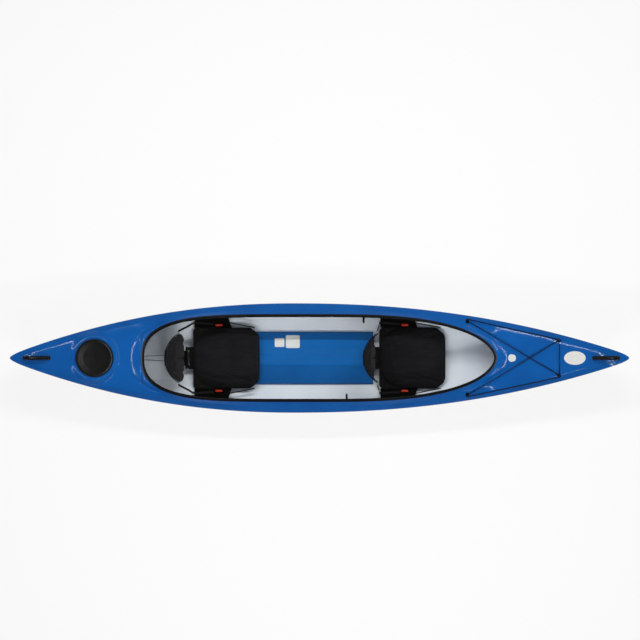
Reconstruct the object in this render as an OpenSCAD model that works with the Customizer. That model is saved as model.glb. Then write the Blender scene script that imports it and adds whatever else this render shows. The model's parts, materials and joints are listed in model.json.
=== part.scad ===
// Tandem kayak: a cream hull and a blue deck joined at a seam, one long open cockpit,
// two seats with folding backrests, sliding foot braces, a round stern hatch and carry handles.
// Frame: +X to the bow, +Y to port, +Z up, origin under the middle of the keel.

/* [Hull] */
// Length overall
boat_l = 4267; // [4200:1:4400]
// Half-breadth of the deck edge where the boat is widest
half_beam = 377; // [365:1:395]
// Where the boat is widest, as a share of the length
wide_x_at = -0.0422; // [-0.0516:0.0001:-0.0328]
// Half-breadth of the rounded tips
tip_half = 20; // [18:1:24]
// Height of the seam between hull and deck at the middle
seam_mid = 218; // [212:1:230]
// How much higher the seam is at the tips
seam_rise = 206; // [190:1:220]
// How much higher the keel is at the ends
rocker = 55; // [45:1:60]
// Half-length of the level stretch of the keel, as a share of the length
keel_flat_at = 0.0844; // [0.082:0.0001:0.0937]
// Distance from the middle where the keel stops rising, as a share of the length
rocker_end_at = 0.4336; // [0.4218:0.0001:0.4453]
// Half-width of the level keel strip at the middle
keel_half = 60; // [56:1:70]
// Half-thickness of the keel fin at the ends
fin_half = 12; // [11:1:14]
// How far the foot of the stern draws in
stern_sweep = 230; // [200:1:260]
// How far the foot of the bow draws in
bow_sweep = 330; // [300:1:360]
// Straight rake of the bow
bow_rake = 70; // [50:1:90]
// Distance from the middle where the chine crease starts to climb, as a share of the length
chine_start_at = 0.2538; // [0.2344:0.0001:0.2695]
// Thickness of the moulded sheet
wall = 4; // [3.5:0.1:4.5]
// Gap of the glued seam
seam_gap = 0.4; // [0.3:0.1:0.6]

/* [Deck] */
// Height of the upright lip that covers the edge of the hull
lip_h = 14; // [12:1:18]
// Height of the deck above the seam at the tips
crown_tip = 22; // [20:1:26]
// Height that the deck gains towards the middle
crown_gain = 64; // [58:1:72]
// Width of the bevel along the deck edge
bevel_w = 38; // [32:1:44]
// Height of the top of the bevel above the seam
bevel_rise = 50; // [44:1:56]
// Rear end of the cockpit opening, as a share of the length
cockpit_aft_at = -0.288; // [-0.2953:0.0001:-0.2836]
// Front end of the cockpit opening, as a share of the length
cockpit_fwd_at = 0.2869; // [0.2812:0.0001:0.2953]
// Half-width of the cockpit opening
cockpit_half = 303; // [295:1:308]
// Width of the rubber trim round the opening
trim_w = 22; // [19:1:24]
// How far the trim grips over the deck edge
trim_grip = 12; // [10:1:14]
// Clearance round the trim
trim_gap = 0.3; // [0.2:0.1:0.5]

/* [Hatch] */
// Where the middle of the stern hatch is, as a share of the length
hatch_x_at = -0.3633; // [-0.3679:0.0001:-0.3586]
// Height of the hatch ring's top
hatch_z = 399; // [397:1:402]
// Tilt of the hatch, stern side up
hatch_tilt = 2.7; // [2:0.1:3.5]
// Outer diameter of the hatch ring
hatch_ring_d = 318; // [312:1:324]
// Diameter of the hatch cover
hatch_cover_d = 262; // [256:1:266]
// Depth of the hatch ring's skirt
hatch_skirt = 44; // [40:1:50]
// Running clearance of the cover on its ring
hatch_gap = 0.4; // [0.3:0.1:0.6]

/* [Floor and bulkheads] */
// Rear end of the floor panel, as a share of the length
floor_aft_at = -0.1022; // [-0.1031:0.0001:-0.1008]
// Front end of the floor panel, as a share of the length
floor_fwd_at = 0.0867; // [0.0845:0.0001:0.0875]
// Half-width of the floor panel
floor_half = 180; // [170:1:184]
// Height of the top of the floor panel
floor_top = 40; // [36:1:46]
// Gap under the floor panel
floor_gap = 0.8; // [0.7:0.1:1]
// Where the stern bulkhead is, as a share of the length
bulkhead_x_at = -0.3047; // [-0.3094:0.0001:-0.3011]
// Thickness of the stern bulkhead
bulkhead_t = 22; // [18:1:30]
// Rear face of the bow flotation block, as a share of the length
foam_aft_at = 0.4254; // [0.423:0.0001:0.4289]
// Front face of the bow flotation block, as a share of the length
foam_fwd_at = 0.4558; // [0.4523:0.0001:0.4593]
// Gap between foam and hull
foam_gap = 1.1; // [0.9:0.1:1.2]

/* [Seats] */
// Hinge of the rear backrest, as a share of the length
rear_hinge_x_at = -0.214; // [-0.2156:0.0001:-0.2121]
// Hinge of the front backrest, as a share of the length
front_hinge_x_at = 0.086; // [0.0844:0.0001:0.0879]
// Height of the backrest hinges
hinge_z = 90; // [88:1:92]
// Diameter of the hinge pins
hinge_pin_d = 8; // [7:1:9]
// Radial clearance of pins and pivots
pin_gap = 0.08; // [0.05:0.01:0.1]
// Height of the top of the seat pan
pan_top = 78; // [76:1:80]
// Thickness of the seat pan
pan_t = 6; // [5:1:8]
// Length of the seat pan
pan_l = 412; // [402:1:418]
// Width of the seat pan
pan_w = 420; // [410:1:424]
// Distance from the hinge to the rear edge of the pan
pan_start = 44; // [43:1:46]
// Length of the seat cushion
cushion_l = 466; // [456:1:472]
// Width of the seat cushion
cushion_w = 434; // [424:1:438]
// Thickness of the seat cushion at its crown
cushion_h = 46; // [40:1:50]
// Half-width at the top of the seat wings
wing_top_y = 314; // [310:1:316]
// Height of the top of the seat wings
wing_top_z = 215; // [208:1:220]
// Width of the backrest
backrest_w = 345; // [330:1:352]
// Height of the top of the backrest
backrest_top = 462; // [450:1:470]
// Radius of the backrest shell
backrest_r = 200; // [195:1:210]
// Distance from the hinge back to the rear of the rear backrest
rear_back = 157; // [152:1:160]
// Distance from the hinge back to the rear of the front backrest
front_back = 68; // [64:1:72]
// Height of the lower edge of the front backrest beside its tongue
front_shell_low = 172; // [168:1:176]
// Thickness of the backrest shell
backrest_t = 5; // [4:1:6]
// Width of the hinge block
hinge_w = 152; // [146:1:156]
// Clearance of soft pieces
soft_gap = 0.5; // [0.4:0.1:0.6]

/* [Foot braces] */
// Rear bolts of the rear foot rails, as a share of the length
rear_rail_x1_at = -0.0052; // [-0.0061:0.0001:-0.0042]
// Front bolts of the rear foot rails, as a share of the length
rear_rail_x2_at = 0.0961; // [0.0947:0.0001:0.0975]
// Height of the rear foot rails
rear_rail_z = 160; // [156:1:164]
// Rear bolts of the front foot rails, as a share of the length
front_rail_x1_at = 0.3365; // [0.3351:0.0001:0.3379]
// Front bolts of the front foot rails, as a share of the length
front_rail_x2_at = 0.4125; // [0.4106:0.0001:0.4139]
// Height of the front rails at their rear bolts
front_rail_z1 = 232; // [228:1:236]
// Height of the front rails at their front bolts
front_rail_z2 = 286; // [282:1:288]
// Length of rail beyond each bolt
rail_end = 22; // [18:1:24]
// Height of a foot rail
rail_h = 30; // [28:1:32]
// Height of a pedal
pedal_h = 110; // [100:1:120]
// How far a pedal stands in from its rail
pedal_reach = 74; // [66:1:76]
// Clearance of the pedal carriage on its rail
carriage_gap = 0.4; // [0.3:0.1:0.6]
// Diameter of the hull bolts
bolt_d = 6; // [5:1:7]

/* [Handles and bungee] */
// Middle of the stern handle, as a share of the length
stern_handle_at = -0.4565; // [-0.458:0.0001:-0.455]
// Middle of the bow handle, as a share of the length
bow_handle_at = 0.4624; // [0.4609:0.0001:0.4639]
// Distance between the feet of a handle
handle_span = 158; // [150:1:166]
// Height of the grip's middle above the deck
handle_rise = 40; // [36:1:44]
// Diameter of the handle grips
grip_d = 24; // [22:1:26]
// Diameter of the handle cords
handle_cord_d = 8; // [7:1:9]
// Rear deck fittings from the middle, as a share of the length
fitting_aft_x_at = 0.2388; // [0.2367:0.0001:0.2414]
// Front deck fittings from the middle, as a share of the length
fitting_fwd_x_at = 0.3867; // [0.3843:0.0001:0.389]
// Distance of the deck fittings from the deck edge
fitting_in = 44; // [42:1:48]
// Diameter of the bungee
bungee_d = 6; // [5:0.5:7]

/* [Hidden] */
$fn = 32;
// Points round each closed loop of the hull and deck, levels below and above the chine
loop_n = 96;
chine_level = 3;
side_levels = 6;
side_spread = 1.3;
hull_levels = chine_level + side_levels;
half_l = boat_l / 2;
tip_gap = 2;
hull_half_l = half_l - wall - seam_gap - tip_gap;
// Places along the boat, from the shares of its length
wide_x = wide_x_at * boat_l;
keel_flat = keel_flat_at * boat_l;
rocker_end = rocker_end_at * boat_l;
chine_start = chine_start_at * boat_l;
cockpit_aft = cockpit_aft_at * boat_l;
cockpit_fwd = cockpit_fwd_at * boat_l;
hatch_x = hatch_x_at * boat_l;
floor_aft = floor_aft_at * boat_l;
floor_fwd = floor_fwd_at * boat_l;
bulkhead_x = bulkhead_x_at * boat_l;
foam_aft = foam_aft_at * boat_l;
foam_fwd = foam_fwd_at * boat_l;
rear_hinge_x = rear_hinge_x_at * boat_l;
front_hinge_x = front_hinge_x_at * boat_l;
rear_rail_x1 = rear_rail_x1_at * boat_l;
rear_rail_x2 = rear_rail_x2_at * boat_l;
front_rail_x1 = front_rail_x1_at * boat_l;
front_rail_x2 = front_rail_x2_at * boat_l;
fitting_aft_x = fitting_aft_x_at * boat_l;
fitting_fwd_x = fitting_fwd_x_at * boat_l;
stern_handle_x1 = stern_handle_at * boat_l - handle_span / 2;
stern_handle_x2 = stern_handle_x1 + handle_span;
bow_handle_x1 = bow_handle_at * boat_l - handle_span / 2;
bow_handle_x2 = bow_handle_x1 + handle_span;
// Exponents of the plan outline, seam line, tip rounding and cockpit outline
stern_power = 2.1;
bow_power = 2.2;
stern_seam_power = 2.2;
bow_seam_power = 2.6;
tip_power = 80;
aft_power = [5, 0.4];
fwd_power = [3, 0.55];
cockpit_spread = 0.75;
// Section fullness at the middle and the ends, and the hollow below the chine
mid_full = 2.5;
end_full = 1.35;
chine_low = 0.07;
stern_chine_slope = 0.0004;
bow_chine_slope = 0.0005;
stern_hollow = 3.5;
bow_hollow = 1.4;
hollow_from = 0.45;
hollow_over = 0.35;
rim_h = lip_h - wall;
bevel_share = 0.6;
tip_bevel = 30;
// Colours
hull_cream = "#d9d4c4";
deck_blue = "#0b5ca8";
floor_blue = "#125a9c";
black = "#1a1a1c";
fabric_black = "#202023";
steel = "#b8bcc0";
lever_red = "#c0382e";
foam_grey = "#8c9094";
cord_black = "#141414";

function mix(a, b, t) = a + (b - a) * t;
function clamp01(v) = min(1, max(0, v));
function ease(v) = let (t = clamp01(v)) t * t * (3 - 2 * t);
function unit(v) = v / norm(v);

// Deck edge: half-breadth without and with the rounding of the tips
function deck_full(u) = let (
    x = u * half_l,
    aft = x < wide_x,
    v = aft ? (wide_x - x) / (half_l + wide_x) : (x - wide_x) / (half_l - wide_x)
) tip_half + (half_beam - tip_half) * (1 - pow(v, aft ? stern_power : bow_power));
function tip_round(u) = sqrt(max(0, 1 - pow(abs(u), tip_power)));
function deck_half(x) = let (u = x / half_l) deck_full(u) * tip_round(u);

// Seam, keel and stem lines
function seam_z(x) =
    seam_mid + seam_rise * pow(min(1, abs(x) / half_l), x < 0 ? stern_seam_power : bow_seam_power);
function keel_z(x) =
    rocker * (1 - cos(180 * clamp01((abs(x) - keel_flat) / (rocker_end - keel_flat)))) / 2;
function pull_in(u, s) = let (curve = 1 - sqrt(max(0, 1 - s * s)))
    u < 0 ? stern_sweep * curve : bow_sweep * curve + bow_rake * s;

// Hull section: h is the height from keel (0) to seam (1), u the place from stern (-1) to bow (1)
function chine_at(u) = let (out = max(0, abs(u) * half_l - chine_start))
    chine_low + out * (u < 0 ? stern_chine_slope : bow_chine_slope);
function hollow(u) =
    mix(1, u < 0 ? stern_hollow : bow_hollow, ease((abs(u) - hollow_from) / hollow_over));
function bilge(h, u) = let (n = mix(mid_full, end_full, u * u)) pow(1 - pow(1 - h, n), 1 / n);
function keel_at(u) = mix(fin_half, keel_half, pow(1 - u * u, 2));
function hull_half(u, h) = let (hc = chine_at(u), top = deck_full(u) - wall - seam_gap)
    tip_round(u) * (h >= hc ? top * bilge(h, u)
        : mix(keel_at(u), top * bilge(hc, u), pow(h / hc, hollow(u))));
function hull_x(u, h) = u * (hull_half_l - pull_in(u, 1 - h));
function level_h(k, u) = let (hc = chine_at(u))
    k <= chine_level ? hc * k / chine_level
        : hc + (1 - hc) * pow((k - chine_level) / side_levels, side_spread);
function hull_pt(u, side, h) = let (x = hull_x(u, h))
    [x, side * hull_half(u, h), mix(keel_z(x), seam_z(x), h)];
// Half-breadth of the hull's outside at a place and height, and of its inside less a gap
function hull_y(x, z) = let (
    h = clamp01((z - keel_z(x)) / (seam_z(x) - keel_z(x))),
    u = x / (hull_half_l - pull_in(x, 1 - h))
) lookup(h, [for (k = [0 : hull_levels]) let (hk = level_h(k, u)) [hk, hull_half(u, hk)]]);
function hull_in(x, z, gap) = let (
    step = 2,
    dz = (hull_y(x, z + step) - hull_y(x, z - step)) / (2 * step),
    dx = (hull_y(x + step, z) - hull_y(x - step, z)) / (2 * step)
) hull_y(x, z) - (wall + gap) * sqrt(1 + dz * dz + dx * dx);
// Height of the hull's floor at a place, found by halving
function floor_z(x, y, lo, hi, n) = n == 0 ? hi
    : let (mid = (lo + hi) / 2)
        hull_in(x, mid, 0) < y ? floor_z(x, y, mid, hi, n - 1) : floor_z(x, y, lo, mid, n - 1);

// Deck surface
function crown(x) = crown_tip + crown_gain * (1 - pow(min(1, abs(x) / half_l), 5));
function cockpit_curve(v, p) = pow(max(0, 1 - pow(v, p[0])), p[1]);
function cockpit_y(x) = x < 0
    ? cockpit_half * cockpit_curve(min(1, x / cockpit_aft), aft_power)
    : cockpit_half * cockpit_curve(min(1, x / cockpit_fwd), fwd_power);
function bevel_at(x) = min(bevel_w, bevel_share * deck_full(x / half_l));
function deck_z(x, y) = let (
    b = deck_half(x),
    e = b - abs(y),
    w = max(1, b - cockpit_y(x)),
    bw = min(bevel_w, bevel_share * b),
    top = crown(x),
    br = min(bevel_rise, mix(lip_h, top, bevel_share)),
    t = clamp01((e - bw) / max(1, w - bw)),
    p = 1 + clamp01((w - 2 * bevel_w) / (2 * bevel_w))
) seam_z(x) + (e <= bw ? mix(lip_h, br, clamp01(e / max(1, bw))) : mix(br, top, 1 - pow(1 - t, p)));
function deck_normal(x, y) = let (step = 3)
    unit([(deck_z(x - step, y) - deck_z(x + step, y)) / (2 * step),
        (deck_z(x, y - step) - deck_z(x, y + step)) / (2 * step), 1]);

// Loops of points
function edge_pt(a) = let (u = cos(a)) [u * half_l, sign(sin(a)) * tip_round(u) * deck_full(u)];
function bevel_pt(a) = let (u = cos(a), x = u * (half_l - tip_bevel))
    [x, sign(sin(a)) * tip_round(u) * (deck_full(x / half_l) - bevel_at(x))];
function cockpit_pt(a, inset) = let (
    v = pow(abs(cos(a)), cockpit_spread),
    fwd = cos(a) >= 0,
    end = fwd ? cockpit_fwd - inset : cockpit_aft + inset
) [end * v, sign(sin(a)) * (cockpit_half - inset) * cockpit_curve(v, fwd ? fwd_power : aft_power)];
function loop_angles() = [for (i = [0 : loop_n - 1]) 360 * i / loop_n];
function on_deck(p, lift) = [p[0], p[1], deck_z(p[0], p[1]) + lift];
function coaming(a, inset, lift) = let (p = cockpit_pt(a, inset))
    [p[0], p[1], seam_z(p[0]) + crown(p[0]) + lift];

// Skins: rings of points joined by triangles
function ring_normal(rings, k, i) = let (
    n = len(rings[0]),
    m = len(rings) - 1,
    along = rings[k][(i + 1) % n] - rings[k][(i + n - 1) % n],
    up = rings[min(k + 1, m)][i] - rings[max(k - 1, 0)][i]
) unit(cross(along, up));
function inset_rings(rings, t) = [for (k = [0 : len(rings) - 1])
    [for (i = [0 : len(rings[0]) - 1]) rings[k][i] - t * ring_normal(rings, k, i)]];
function reversed(list) = [for (i = [len(list) - 1 : -1 : 0]) list[i]];
function flat_list(rings) = [for (r = rings) each r];
function skin_faces(m, n, closed) = [
    for (k = [0 : closed ? m - 1 : m - 2])
        for (i = [0 : n - 1])
            let (a = k * n + i, b = k * n + (i + 1) % n)
                let (d = ((k + 1) % m) * n + i, c = ((k + 1) % m) * n + (i + 1) % n)
                    each [[a, d, c], [a, c, b]]
];
// Cap across a loop that is mirrored about the centreline
function strip_cap(base, n, flip) = [
    for (j = [0 : n / 2 - 1])
        let (p = base + j, q = base + j + 1, r = base + n - j - 1, s = base + (n - j) % n)
            each concat(
                j < n / 2 - 1 ? [flip ? [p, r, q] : [p, q, r]] : [],
                j > 0 ? [flip ? [p, s, r] : [p, r, s]] : [])
];
function fan_cap(base, n, flip) = [for (i = [1 : n - 2])
    flip ? [base, base + i + 1, base + i] : [base, base + i, base + i + 1]];

module skin(rings, closed = false, strip = false) {
    m = len(rings);
    n = len(rings[0]);
    caps = closed ? []
        : strip ? concat(strip_cap(0, n, false), strip_cap((m - 1) * n, n, true))
        : concat(fan_cap(0, n, false), fan_cap((m - 1) * n, n, true));
    polyhedron(flat_list(rings), concat(skin_faces(m, n, closed), caps));
}

// Tube swept along points, with flat ends
function tangent(path, i) =
    unit(path[min(i + 1, len(path) - 1)] - path[max(i - 1, 0)]);
function tube_ring(p, t, r, sides) = let (
    side = unit(cross(abs(t[2]) > 0.9 ? [1, 0, 0] : [0, 0, 1], t)),
    up = cross(t, side)
) [for (i = [0 : sides - 1]) p + r * (cos(360 * i / sides) * side + sin(360 * i / sides) * up)];
module tube(path, r, sides = 8) {
    skin([for (i = [0 : len(path) - 1]) tube_ring(path[i], tangent(path, i), r, sides)]);
}
// Flat strap along points: w wide across "flat", t thick
// Both flat sides are split along the same diagonal, so that a twist keeps the thickness
function strap_faces(m) = [
    for (k = [0 : m - 2])
        for (i = [0 : 3])
            let (a = k * 4 + i, b = k * 4 + (i + 1) % 4, c = b + 4, d = a + 4)
                each i == 2 ? [[a, d, b], [b, d, c]] : [[a, d, c], [a, c, b]]
];
module strap(path, flat, w, t) {
    m = len(path);
    rings = [for (i = [0 : m - 1])
        let (d = tangent(path, i), n = unit(cross(d, flat)), s = unit(cross(n, d)))
            [for (q = [[-1, -1], [1, -1], [1, 1], [-1, 1]])
                path[i] + q[0] * s * w / 2 + q[1] * n * t / 2]];
    caps = concat(fan_cap(0, 4, false), fan_cap((m - 1) * 4, 4, true));
    polyhedron(flat_list(rings), concat(strap_faces(m), caps));
}
module rounded_plate(l, w, r, t) {
    linear_extrude(t) {
        square([l - 2 * r, w], center = true);
        square([l, w - 2 * r], center = true);
        for (sx = [-1, 1])
            for (sy = [-1, 1])
                translate([sx * (l / 2 - r), sy * (w / 2 - r)])
                    circle(r);
    }
}
module both_sides() {
    children();
    mirror([0, 1, 0])
        children();
}
module stand_on_deck(x, y) {
    n = deck_normal(x, y);
    translate([x, y, deck_z(x, y)])
        rotate(a = acos(n[2]), v = [-n[1], n[0], 0])
            children();
}

// Hull and deck
hull_outer = [for (k = [0 : hull_levels])
    [for (a = loop_angles()) let (u = cos(a)) hull_pt(u, sign(sin(a)), level_h(k, u))]];
hull_rings = concat(hull_outer, [[for (p = hull_outer[hull_levels]) p + [0, 0, rim_h]]]);
hull_rim = len(hull_rings) - 1;
hull_inner = [for (k = [0 : hull_rim])
    [for (i = [0 : loop_n - 1])
        let (n = ring_normal(hull_rings, k, i), flat = unit([n[0], n[1], 0]))
            hull_rings[k][i] - wall * (k == 0 ? [n[0], n[1], -1] : k == hull_rim ? flat : n)]];
deck_steps = [0.25, 0.5, 0.75];
deck_outer = concat(
    [for (lift = [0, lip_h])
        [for (a = loop_angles()) let (p = edge_pt(a)) [p[0], p[1], seam_z(p[0]) + lift]]],
    [[for (a = loop_angles()) on_deck(bevel_pt(a), 0)]],
    [for (t = deck_steps) [for (a = loop_angles()) on_deck(mix(bevel_pt(a), cockpit_pt(a, 0), t), 0)]],
    [for (inset = [0, trim_grip]) [for (a = loop_angles()) coaming(a, inset, 0)]]);

module hull_shell() {
    color(hull_cream)
        difference() {
            skin(concat(hull_rings, reversed(hull_inner)), strip = true);
            at_hull_bolts()
                translate([0, 0, -bolt_reach])
                    cylinder(d = bolt_d + 2 * pin_gap, h = 2 * bolt_reach);
        }
}
module deck_shell() {
    color(deck_blue)
        difference() {
            skin(concat(deck_outer, reversed(inset_rings(deck_outer, wall))), closed = true);
            at_hatch()
                translate([0, 0, -hatch_skirt * 2])
                    cylinder(d = hatch_ring_d + 2 * hatch_gap, h = hatch_skirt * 4, $fn = 96);
            at_fittings()
                translate([0, 0, -fitting_screw_l])
                    cylinder(d = screw_d + 2 * pin_gap, h = fitting_screw_l * 2);
            at_handle_screws()
                translate([0, 0, -anchor_screw_l])
                    cylinder(d = screw_d + 2 * pin_gap, h = anchor_screw_l * 2);
        }
}
// Rubber channel pressed over the cockpit edge: inset from the opening and height of each corner
trim_over = 6;
trim_lip = 3.5;
trim_soft = 2;
trim_back = 3;
trim_section = [
    [0, trim_gap + trim_lip], [trim_grip, trim_over], [trim_w - trim_soft, trim_lip],
    [trim_w, -wall / 2], [trim_w - trim_soft, -wall - trim_lip], [trim_grip, -wall - trim_over],
    [trim_back, -wall - trim_gap - trim_lip], [trim_back, -wall - trim_gap],
    [trim_grip + trim_gap, -wall - trim_gap],
    [trim_grip + trim_gap, trim_gap], [0, trim_gap]
];
module cockpit_trim() {
    color(black)
        skin([for (c = trim_section) [for (a = loop_angles()) coaming(a, c[0], c[1])]], closed = true);
}

// Stern hatch
ring_t = 4;
neck_r = hatch_cover_d / 2 - 12;
neck_up = 8;
neck_down = 18;
cover_t = 4;
cover_rim = 5;
cover_dome = 6;
cover_r = hatch_cover_d / 2;
ring_r = hatch_ring_d / 2;
module at_hatch() {
    translate([hatch_x, 0, hatch_z])
        rotate([0, hatch_tilt, 0])
            children();
}
module hatch_ring() {
    color(deck_blue)
        at_hatch()
            rotate_extrude($fn = 96)
                polygon([
                    [ring_r, -hatch_skirt], [ring_r, -ring_t / 2], [ring_r - ring_t / 2, 0],
                    [neck_r + ring_t, 0], [neck_r + ring_t, neck_up], [neck_r, neck_up],
                    [neck_r, -neck_down], [neck_r + ring_t, -neck_down], [neck_r + ring_t, -ring_t],
                    [ring_r - ring_t, -ring_t], [ring_r - ring_t, -hatch_skirt]
                ]);
}
module hatch_cover() {
    rest = neck_up + hatch_gap;
    side = neck_r + ring_t + hatch_gap;
    color(black)
        at_hatch()
            rotate_extrude($fn = 96)
                polygon([
                    [0, rest], [side, rest], [side, hatch_gap], [cover_r, hatch_gap],
                    [cover_r, rest + cover_t - 1], [cover_r - 2, rest + cover_rim],
                    [cover_r - 10, rest + cover_rim], [cover_r - 16, rest + cover_t],
                    [cover_r * 0.6, rest + cover_dome], [0, rest + cover_dome + 1]
                ]);
}

// Floor panel: raised ribs along a plate that lies on the level keel
floor_edge_z = 24;
rib_h = 5;
rib_w = 38;
rib_gap = 36;
rib_places = [-1, 1];
keel_rest = keel_half - 6;
panel_t = 4;
module floor_panel() {
    bottom = wall + floor_gap;
    top_half = floor_half - rib_h;
    color(floor_blue)
        translate([floor_aft, 0, 0])
            rotate([90, 0, 90])
                linear_extrude(floor_fwd - floor_aft)
                    union() {
                        polygon([
                            [-floor_half, floor_edge_z], [panel_t - floor_half, floor_edge_z],
                            [panel_t - top_half, floor_top - panel_t],
                            [top_half - panel_t, floor_top - panel_t],
                            [floor_half - panel_t, floor_edge_z], [floor_half, floor_edge_z],
                            [top_half, floor_top], [-top_half, floor_top]
                        ]);
                        for (s = [-1, 1])
                            translate([s * keel_rest - (1 + s) * panel_t / 2, bottom])
                                square([panel_t, floor_top - panel_t / 2 - bottom]);
                        for (k = rib_places)
                            translate([k * rib_gap - rib_w / 2, floor_top - panel_t / 2])
                                square([rib_w, rib_h + panel_t / 2]);
                    }
}

// Bulkhead and flotation: sections of the inside of the boat
bulkhead_drop = 8;
function section_pts(x, inset, lo) = [for (k = [lo : hull_levels])
    let (h = level_h(k, x / hull_half_l), z = mix(keel_z(x), seam_z(x), h))
        [hull_in(x, z, inset), k == lo ? z + wall + inset : z]];
function deck_under(x, y, drop) = deck_z(x, y) - wall - drop;
module stern_bulkhead() {
    xs = bulkhead_x - bulkhead_t / 2;
    side = section_pts(xs, foam_gap, 2);
    rim_y = side[len(side) - 1][0] - wall;
    top = [for (t = [1, 0.75, 0.5, 0.25, 0]) [rim_y * t, deck_under(xs, rim_y * t, bulkhead_drop)]];
    outline = concat(side, top);
    color(foam_grey)
        translate([xs, 0, 0])
            rotate([90, 0, 90])
                linear_extrude(bulkhead_t)
                    polygon(concat(outline, [for (p = reversed(outline)) [-p[0], p[1]]]));
}
foam_stations = 4;
foam_low = 3;
foam_fit = 2;
block_gap = 1.6;
module bow_flotation() {
    xs = [for (i = [0 : foam_stations - 1]) mix(foam_aft, foam_fwd, i / (foam_stations - 1))];
    rings = [for (x = xs)
        let (side = section_pts(x, block_gap, foam_low))
            concat(
                [for (p = side) [x, p[0], p[1] - foam_fit]],
                [for (p = reversed(side)) [x, -p[0], p[1] - foam_fit]])];
    color(foam_grey)
        skin(rings);
}

// Bolts through the hull come in pairs; a pair is [[x, z], [x, z]] and gives a line along the inside
side_gap = 0.9;
boss_d = 16;
bolt_reach = 40;
bolt_head_d = 15;
bolt_head_h = 3;
seat_bolt_out = [-50, 118];
seat_bolt_z = [198, 187];
seat_pair = [for (i = [0, 1]) [rear_hinge_x + seat_bolt_out[i], seat_bolt_z[i]]];
rear_pair = [[rear_rail_x1, rear_rail_z], [rear_rail_x2, rear_rail_z]];
front_pair = [[front_rail_x1, front_rail_z1], [front_rail_x2, front_rail_z2]];
bolt_pairs = [seat_pair, rear_pair, front_pair];
function hull_normal(x, z) = let (
    step = 4,
    dz = (hull_y(x, z + step) - hull_y(x, z - step)) / (2 * step),
    dx = (hull_y(x + step, z) - hull_y(x - step, z)) / (2 * step)
) unit([-dx, 1, -dz]);
function pair_pt(q) = [q[0], hull_y(q[0], q[1]), q[1]] - (wall + side_gap) * hull_normal(q[0], q[1]);
function pair_len(pr) = norm(pair_pt(pr[1]) - pair_pt(pr[0]));
function pair_along(pr) = unit(pair_pt(pr[1]) - pair_pt(pr[0]));
function pair_out(pr) = let (
    n = hull_normal(pr[0][0], pr[0][1]) + hull_normal(pr[1][0], pr[1][1]),
    along = pair_along(pr)
) unit(n - (n * along) * along);
// Frame of a pair: x along the line, y outwards through the hull, z up
module along_pair(pr, along) {
    lx = pair_along(pr);
    ly = pair_out(pr);
    lz = cross(lx, ly);
    at = pair_pt(pr[0]) + along * lx;
    multmatrix([
        [lx[0], ly[0], lz[0], at[0]],
        [lx[1], ly[1], lz[1], at[1]],
        [lx[2], ly[2], lz[2], at[2]],
        [0, 0, 0, 1]
    ])
        children();
}
// Each bolt: z along the bolt, outwards, zero on the inside of the hull
module at_hull_bolts() {
    both_sides()
        for (pr = bolt_pairs)
            for (along = [0, pair_len(pr)])
                along_pair(pr, along)
                    rotate([-90, 0, 0])
                        children();
}
bolt_seat = 0.5;
bolt_out = wall + side_gap + bolt_seat;
module hull_bolts() {
    color(steel)
        at_hull_bolts() {
            translate([0, 0, -bolt_in])
                cylinder(d = bolt_d, h = bolt_in + bolt_out);
            translate([0, 0, bolt_out])
                cylinder(d1 = bolt_head_d, d2 = bolt_head_d / 2, h = bolt_head_h);
        }
}
rail_off = 5;
rail_t = 3;
nut_t = 5;
nut_d = 11;
nut_seat = rail_off + rail_t + 0.2;
bolt_in = nut_seat + nut_t + 1;
module hull_nuts() {
    color(steel)
        at_hull_bolts()
            translate([0, 0, -nut_seat - nut_t])
                difference() {
                    cylinder(d = nut_d, h = nut_t, $fn = 6);
                    translate([0, 0, -1])
                        cylinder(d = bolt_d + 2 * pin_gap, h = nut_t + 2);
                }
}

// Foot rail: back plate on two bosses, web and front flange that carry the pedal
web_h = 8;
web_t = 6;
flange_h = 20;
flange_t = 4;
rail_free = 20;
flange_in = rail_off + rail_t + web_t;
flange_face = flange_in + flange_t;
module foot_rail(pr) {
    l = pair_len(pr);
    color(black)
        difference() {
            along_pair(pr, 0)
                union() {
                    for (x = [0, l])
                        translate([x, 0, 0])
                            rotate([90, 0, 0])
                                cylinder(d = boss_d, h = rail_off);
                    translate([-rail_end, -rail_off - rail_t, -rail_h / 2])
                        cube([l + 2 * rail_end, rail_t, rail_h]);
                    translate([rail_free, -flange_in, -web_h / 2])
                        cube([l - 2 * rail_free, web_t, web_h]);
                    translate([rail_free, -flange_face, -flange_h / 2])
                        cube([l - 2 * rail_free, flange_t, flange_h]);
                }
            for (x = [0, l])
                along_pair(pr, x)
                    rotate([-90, 0, 0])
                        translate([0, 0, -bolt_reach])
                            cylinder(d = bolt_d + 2 * pin_gap, h = 2 * bolt_reach);
        }
}
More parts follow.
